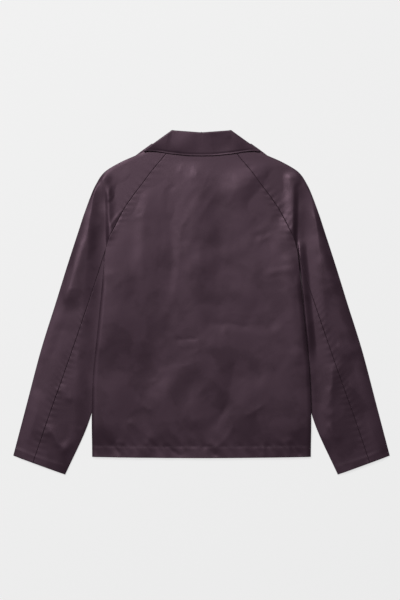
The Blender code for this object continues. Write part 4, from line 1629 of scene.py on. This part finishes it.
    def shell(self, name: str, middle: Array, leaf_up: bool) -> tuple[bpy.types.Object, Array]:
        """An even wall round a middle surface, rounded at its rims.

        Args:
            name: The piece's name.
            middle: The middle surface.
            leaf_up: Whether the leaf faces up.

        Returns:
            The object and the points of its outer face.
        """
        normal = np.cross(np.gradient(middle, axis=1), np.gradient(middle, axis=0))
        normal = normal / np.linalg.norm(normal, axis=2, keepdims=True)
        leaf_normal = normal[self.leaf_rows // 2, middle.shape[1] // 2, 2]
        if (leaf_normal > 0.0) != leaf_up:
            normal = -normal
        half = self.cloth / 2.0
        wall = normal * (half * rounding(rim_distance(middle), half))[:, :, None]
        return shell_object(name, middle + wall, middle - wall), middle + wall

    def make_back(self) -> None:
        """The back length, from the left end of its leaf to the right end."""
        sideways = crowded_shares(self.back_columns, self.back_length, RIM_STEPS) * 2.0 - 1.0
        along = np.abs(sideways)
        rise = self.end_rise * ease((along - self.end_from) / (1.0 - self.end_from))
        ends = self.ends(self.back_lines, along, np.sign(sideways))
        middle = self.middle(ends, self.back_leaf_z + rise, self.back_stand_z + rise, 1.0)
        obj, outer = self.shell("collar_back_cloth", middle, True)
        self.works.dress(obj, "collar_back", self.back_flat, cut_area(middle), "back")
        sewn = np.abs(sideways) < self.stitched_share
        Stitching().sew("collar_stitches", outer[self.stitched_row][sewn], self.works)

    def make_front(self, side: Side) -> None:
        """A front half, folded out on the floor under the neck.

        Args:
            side: The side that it is on.
        """
        along = crowded_shares(self.front_columns, self.front_length, RIM_STEPS)
        level = np.ones_like(along)
        ends = self.ends(self.front_lines, along, side.value * level)
        middle = self.middle(ends, self.front_leaf_z * level, self.front_stand_z * level, 0.0)
        name = f"collar_front_{side.label}"
        obj, _ = self.shell(name + "_cloth", middle, False)
        self.works.dress(obj, name, self.front_flat, cut_area(middle), "floor")


@dataclass
class FrontZip:
    """The zip on the jacket's hidden front: tapes, teeth, bottom box, slider and pull tab."""

    lay: JacketLay
    tape: bpy.types.Material
    metal: bpy.types.Material
    tape_thickness: float = 0.8
    tape_inner: float = 3.0
    tape_width: float = 12.0
    tape_columns: int = 6
    tape_rows: int = 120
    bottom_y: float = -324.0
    box_length: float = 12.0
    slider_y: float = 226.0
    chain_gap: float = 0.3
    tooth_reach: float = 2.4
    tooth_height: float = 2.0
    tooth_pitch: float = 2.6
    tooth_length: float = 1.5
    tooth_square: float = 0.45
    tape_flat: tuple[float, float] = (0.012, 0.564)
    hard_pieces: tuple[tuple[str, Body], ...] = (
        ("zip_bottom_box", Body.JACKET),
        ("zip_slider", Body.JACKET),
        ("zip_pull_tab", Body.PULL_TAB),
    )

    def build(self) -> None:
        """Makes the cloth tapes and the teeth, and finishes the hard pieces."""
        for side in Side:
            self.make_tape(side)
            self.make_teeth(side)
        for node, body in self.hard_pieces:
            self.finish_hard(node, body)

    def base(self, y: Array) -> Array:
        """Height of the tape's outer face, on the inside of the front panels."""
        return self.lay.neck_lift(y) + self.lay.cloth + self.lay.seam_gap

    def make_tape(self, side: Side) -> None:
        """One tape, along the zip's edge of a front panel.

        Args:
            side: The side that it is on.
        """
        out = crowded_shares(self.tape_columns, self.tape_width, TAPE_RIM_STEPS)[None]
        y = stations((self.bottom_y, self.lay.front_neck_y), (self.tape_rows,), TAPE_RIM_STEPS)[:, None]
        x = side.value * (self.tape_inner + self.tape_width * out)
        low = np.stack(np.broadcast_arrays(x, y, self.base(y)), axis=2)
        high = low.copy()
        high[:, :, 2] += self.tape_thickness * rounding(rim_distance(low), self.tape_thickness)
        name = f"zip_tape_{side.label}"
        obj = shell_object(name + "_cloth", high, low)
        obj.data.materials.append(self.tape)
        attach(obj, Body.JACKET.value)
        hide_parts(name)
        log.info("%s: %d faces", obj.name, len(obj.data.polygons))

    def make_teeth(self, side: Side) -> None:
        """One row of teeth, set half a pitch from the other row.

        Args:
            side: The side that it is on.
        """
        start = self.bottom_y + self.box_length + self.lay.seam_gap + self.tooth_length / 2.0
        end = self.slider_y - self.tooth_length / 2.0
        shift = self.tooth_pitch / 2.0 if side is Side.RIGHT else 0.0
        y = np.arange(start + shift, end, self.tooth_pitch)
        x = np.full_like(y, side.value * (self.chain_gap + self.tooth_reach) / 2.0)
        z = self.base(y) + self.tape_thickness / 2.0
        along = np.tile(np.array([1.0, 0.0, 0.0]), (len(y), 1))
        reach = self.tooth_reach - self.chain_gap / 2.0
        half = (reach / 2.0, self.tooth_length / 2.0, self.tooth_height / 2.0)
        name = f"zip_teeth_{side.label}"
        obj = repeat_along(name + "_row", np.stack([x, y, z], axis=1), along, half, self.tooth_square)
        obj.data.materials.append(self.metal)
        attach(obj, Body.JACKET.value)
        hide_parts(name)
        log.info("%s: %d teeth", obj.name, len(y))

    def finish_hard(self, node: str, body: Body) -> None:
        """Gives one of the zip's hard pieces its metal.

        Args:
            node: The piece's node.
            body: The body that it rides on.
        """
        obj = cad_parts[node]
        obj.data.materials.clear()
        obj.data.materials.append(self.metal)
        log.info("%s: metal, on %s", node, body.value)


@dataclass(frozen=True)
class Softbox:
    """One large soft lamp."""

    name: str
    place: tuple[float, float, float]
    size: float
    power: float

    def hang(self) -> None:
        """Hangs the lamp so that it faces the jacket."""
        lamp = bpy.data.lights.new(self.name, "AREA")
        lamp.shape = "SQUARE"
        lamp.size = self.size
        lamp.energy = self.power
        obj = bpy.data.objects.new(self.name, lamp)
        bpy.context.scene.collection.objects.link(obj)
        obj.location = self.place
        facing = -Vector(self.place)
        obj.rotation_euler = facing.to_track_quat("-Z", "Y").to_euler()
        obj.visible_camera = False



@dataclass
class Studio:
    """The floor, the lamps and the camera over the jacket."""

    camera_place: tuple[float, float, float] = (-0.00315, 0.00525, 2.982)
    lens: float = 85.0
    sensor: float = 36.0
    floor_size: float = 9.0
    floor_drop: float = 0.0006
    world_colour: tuple[float, float, float] = (1.0, 1.0, 1.0)
    world_strength: float = 0.03
    lamps: tuple[Softbox, ...] = (
        Softbox("key_softbox", (-1.7, 2.6, 4.9), 2.5, 362.0),
        Softbox("fill_softbox", (2.6, -0.6, 2.6), 2.4, 1.5),
    )

    def build(self) -> None:
        """Sets everything up."""
        self.lay_floor()
        for lamp in self.lamps:
            lamp.hang()
        self.light_world()
        self.place_camera()

    def lay_floor(self) -> None:
        """A wide pale floor just under the jacket."""
        half = self.floor_size / 2.0 / MM
        corners = np.array([[-half, -half, 0.0], [half, -half, 0.0], [half, half, 0.0], [-half, half, 0.0]])
        corners[:, 2] = -self.floor_drop / MM
        floor = mesh_object("studio_floor", corners, np.array([[0, 1, 2, 3]]))
        floor.data.materials.append(FloorFinish().make())

    def light_world(self) -> None:
        """An even pale light from all round."""
        world = bpy.data.worlds.new("studio_air")
        world.use_nodes = True
        background = world.node_tree.nodes["Background"]
        background.inputs["Color"].default_value = (*self.world_colour, 1.0)
        background.inputs["Strength"].default_value = self.world_strength
        bpy.context.scene.world = world

    def place_camera(self) -> None:
        """A long lens straight above the jacket, with the collar at the top of the picture."""
        data = bpy.data.cameras.new("overhead_camera")
        data.lens = self.lens
        data.sensor_width = self.sensor
        camera = bpy.data.objects.new("overhead_camera", data)
        bpy.context.scene.collection.objects.link(camera)
        camera.location = self.camera_place
        bpy.context.scene.camera = camera
        bpy.context.scene.view_settings.view_transform = "Standard"


def main() -> None:
    """Builds the jacket and its studio."""
    logging.basicConfig(level=logging.INFO, format="%(name)s %(message)s")
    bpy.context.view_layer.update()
    lay = JacketLay()
    works = ClothWorks(lay, SatinFinish().make(), ThreadFinish().make())
    Studio().build()
    BodyPanels(works).build()
    for side in Side:
        Sleeve(works, side).build()
    Collar(works).build()
    FrontZip(lay, TapeFinish().make(), MetalFinish().make()).build()


if __name__ == "__main__":
    main()
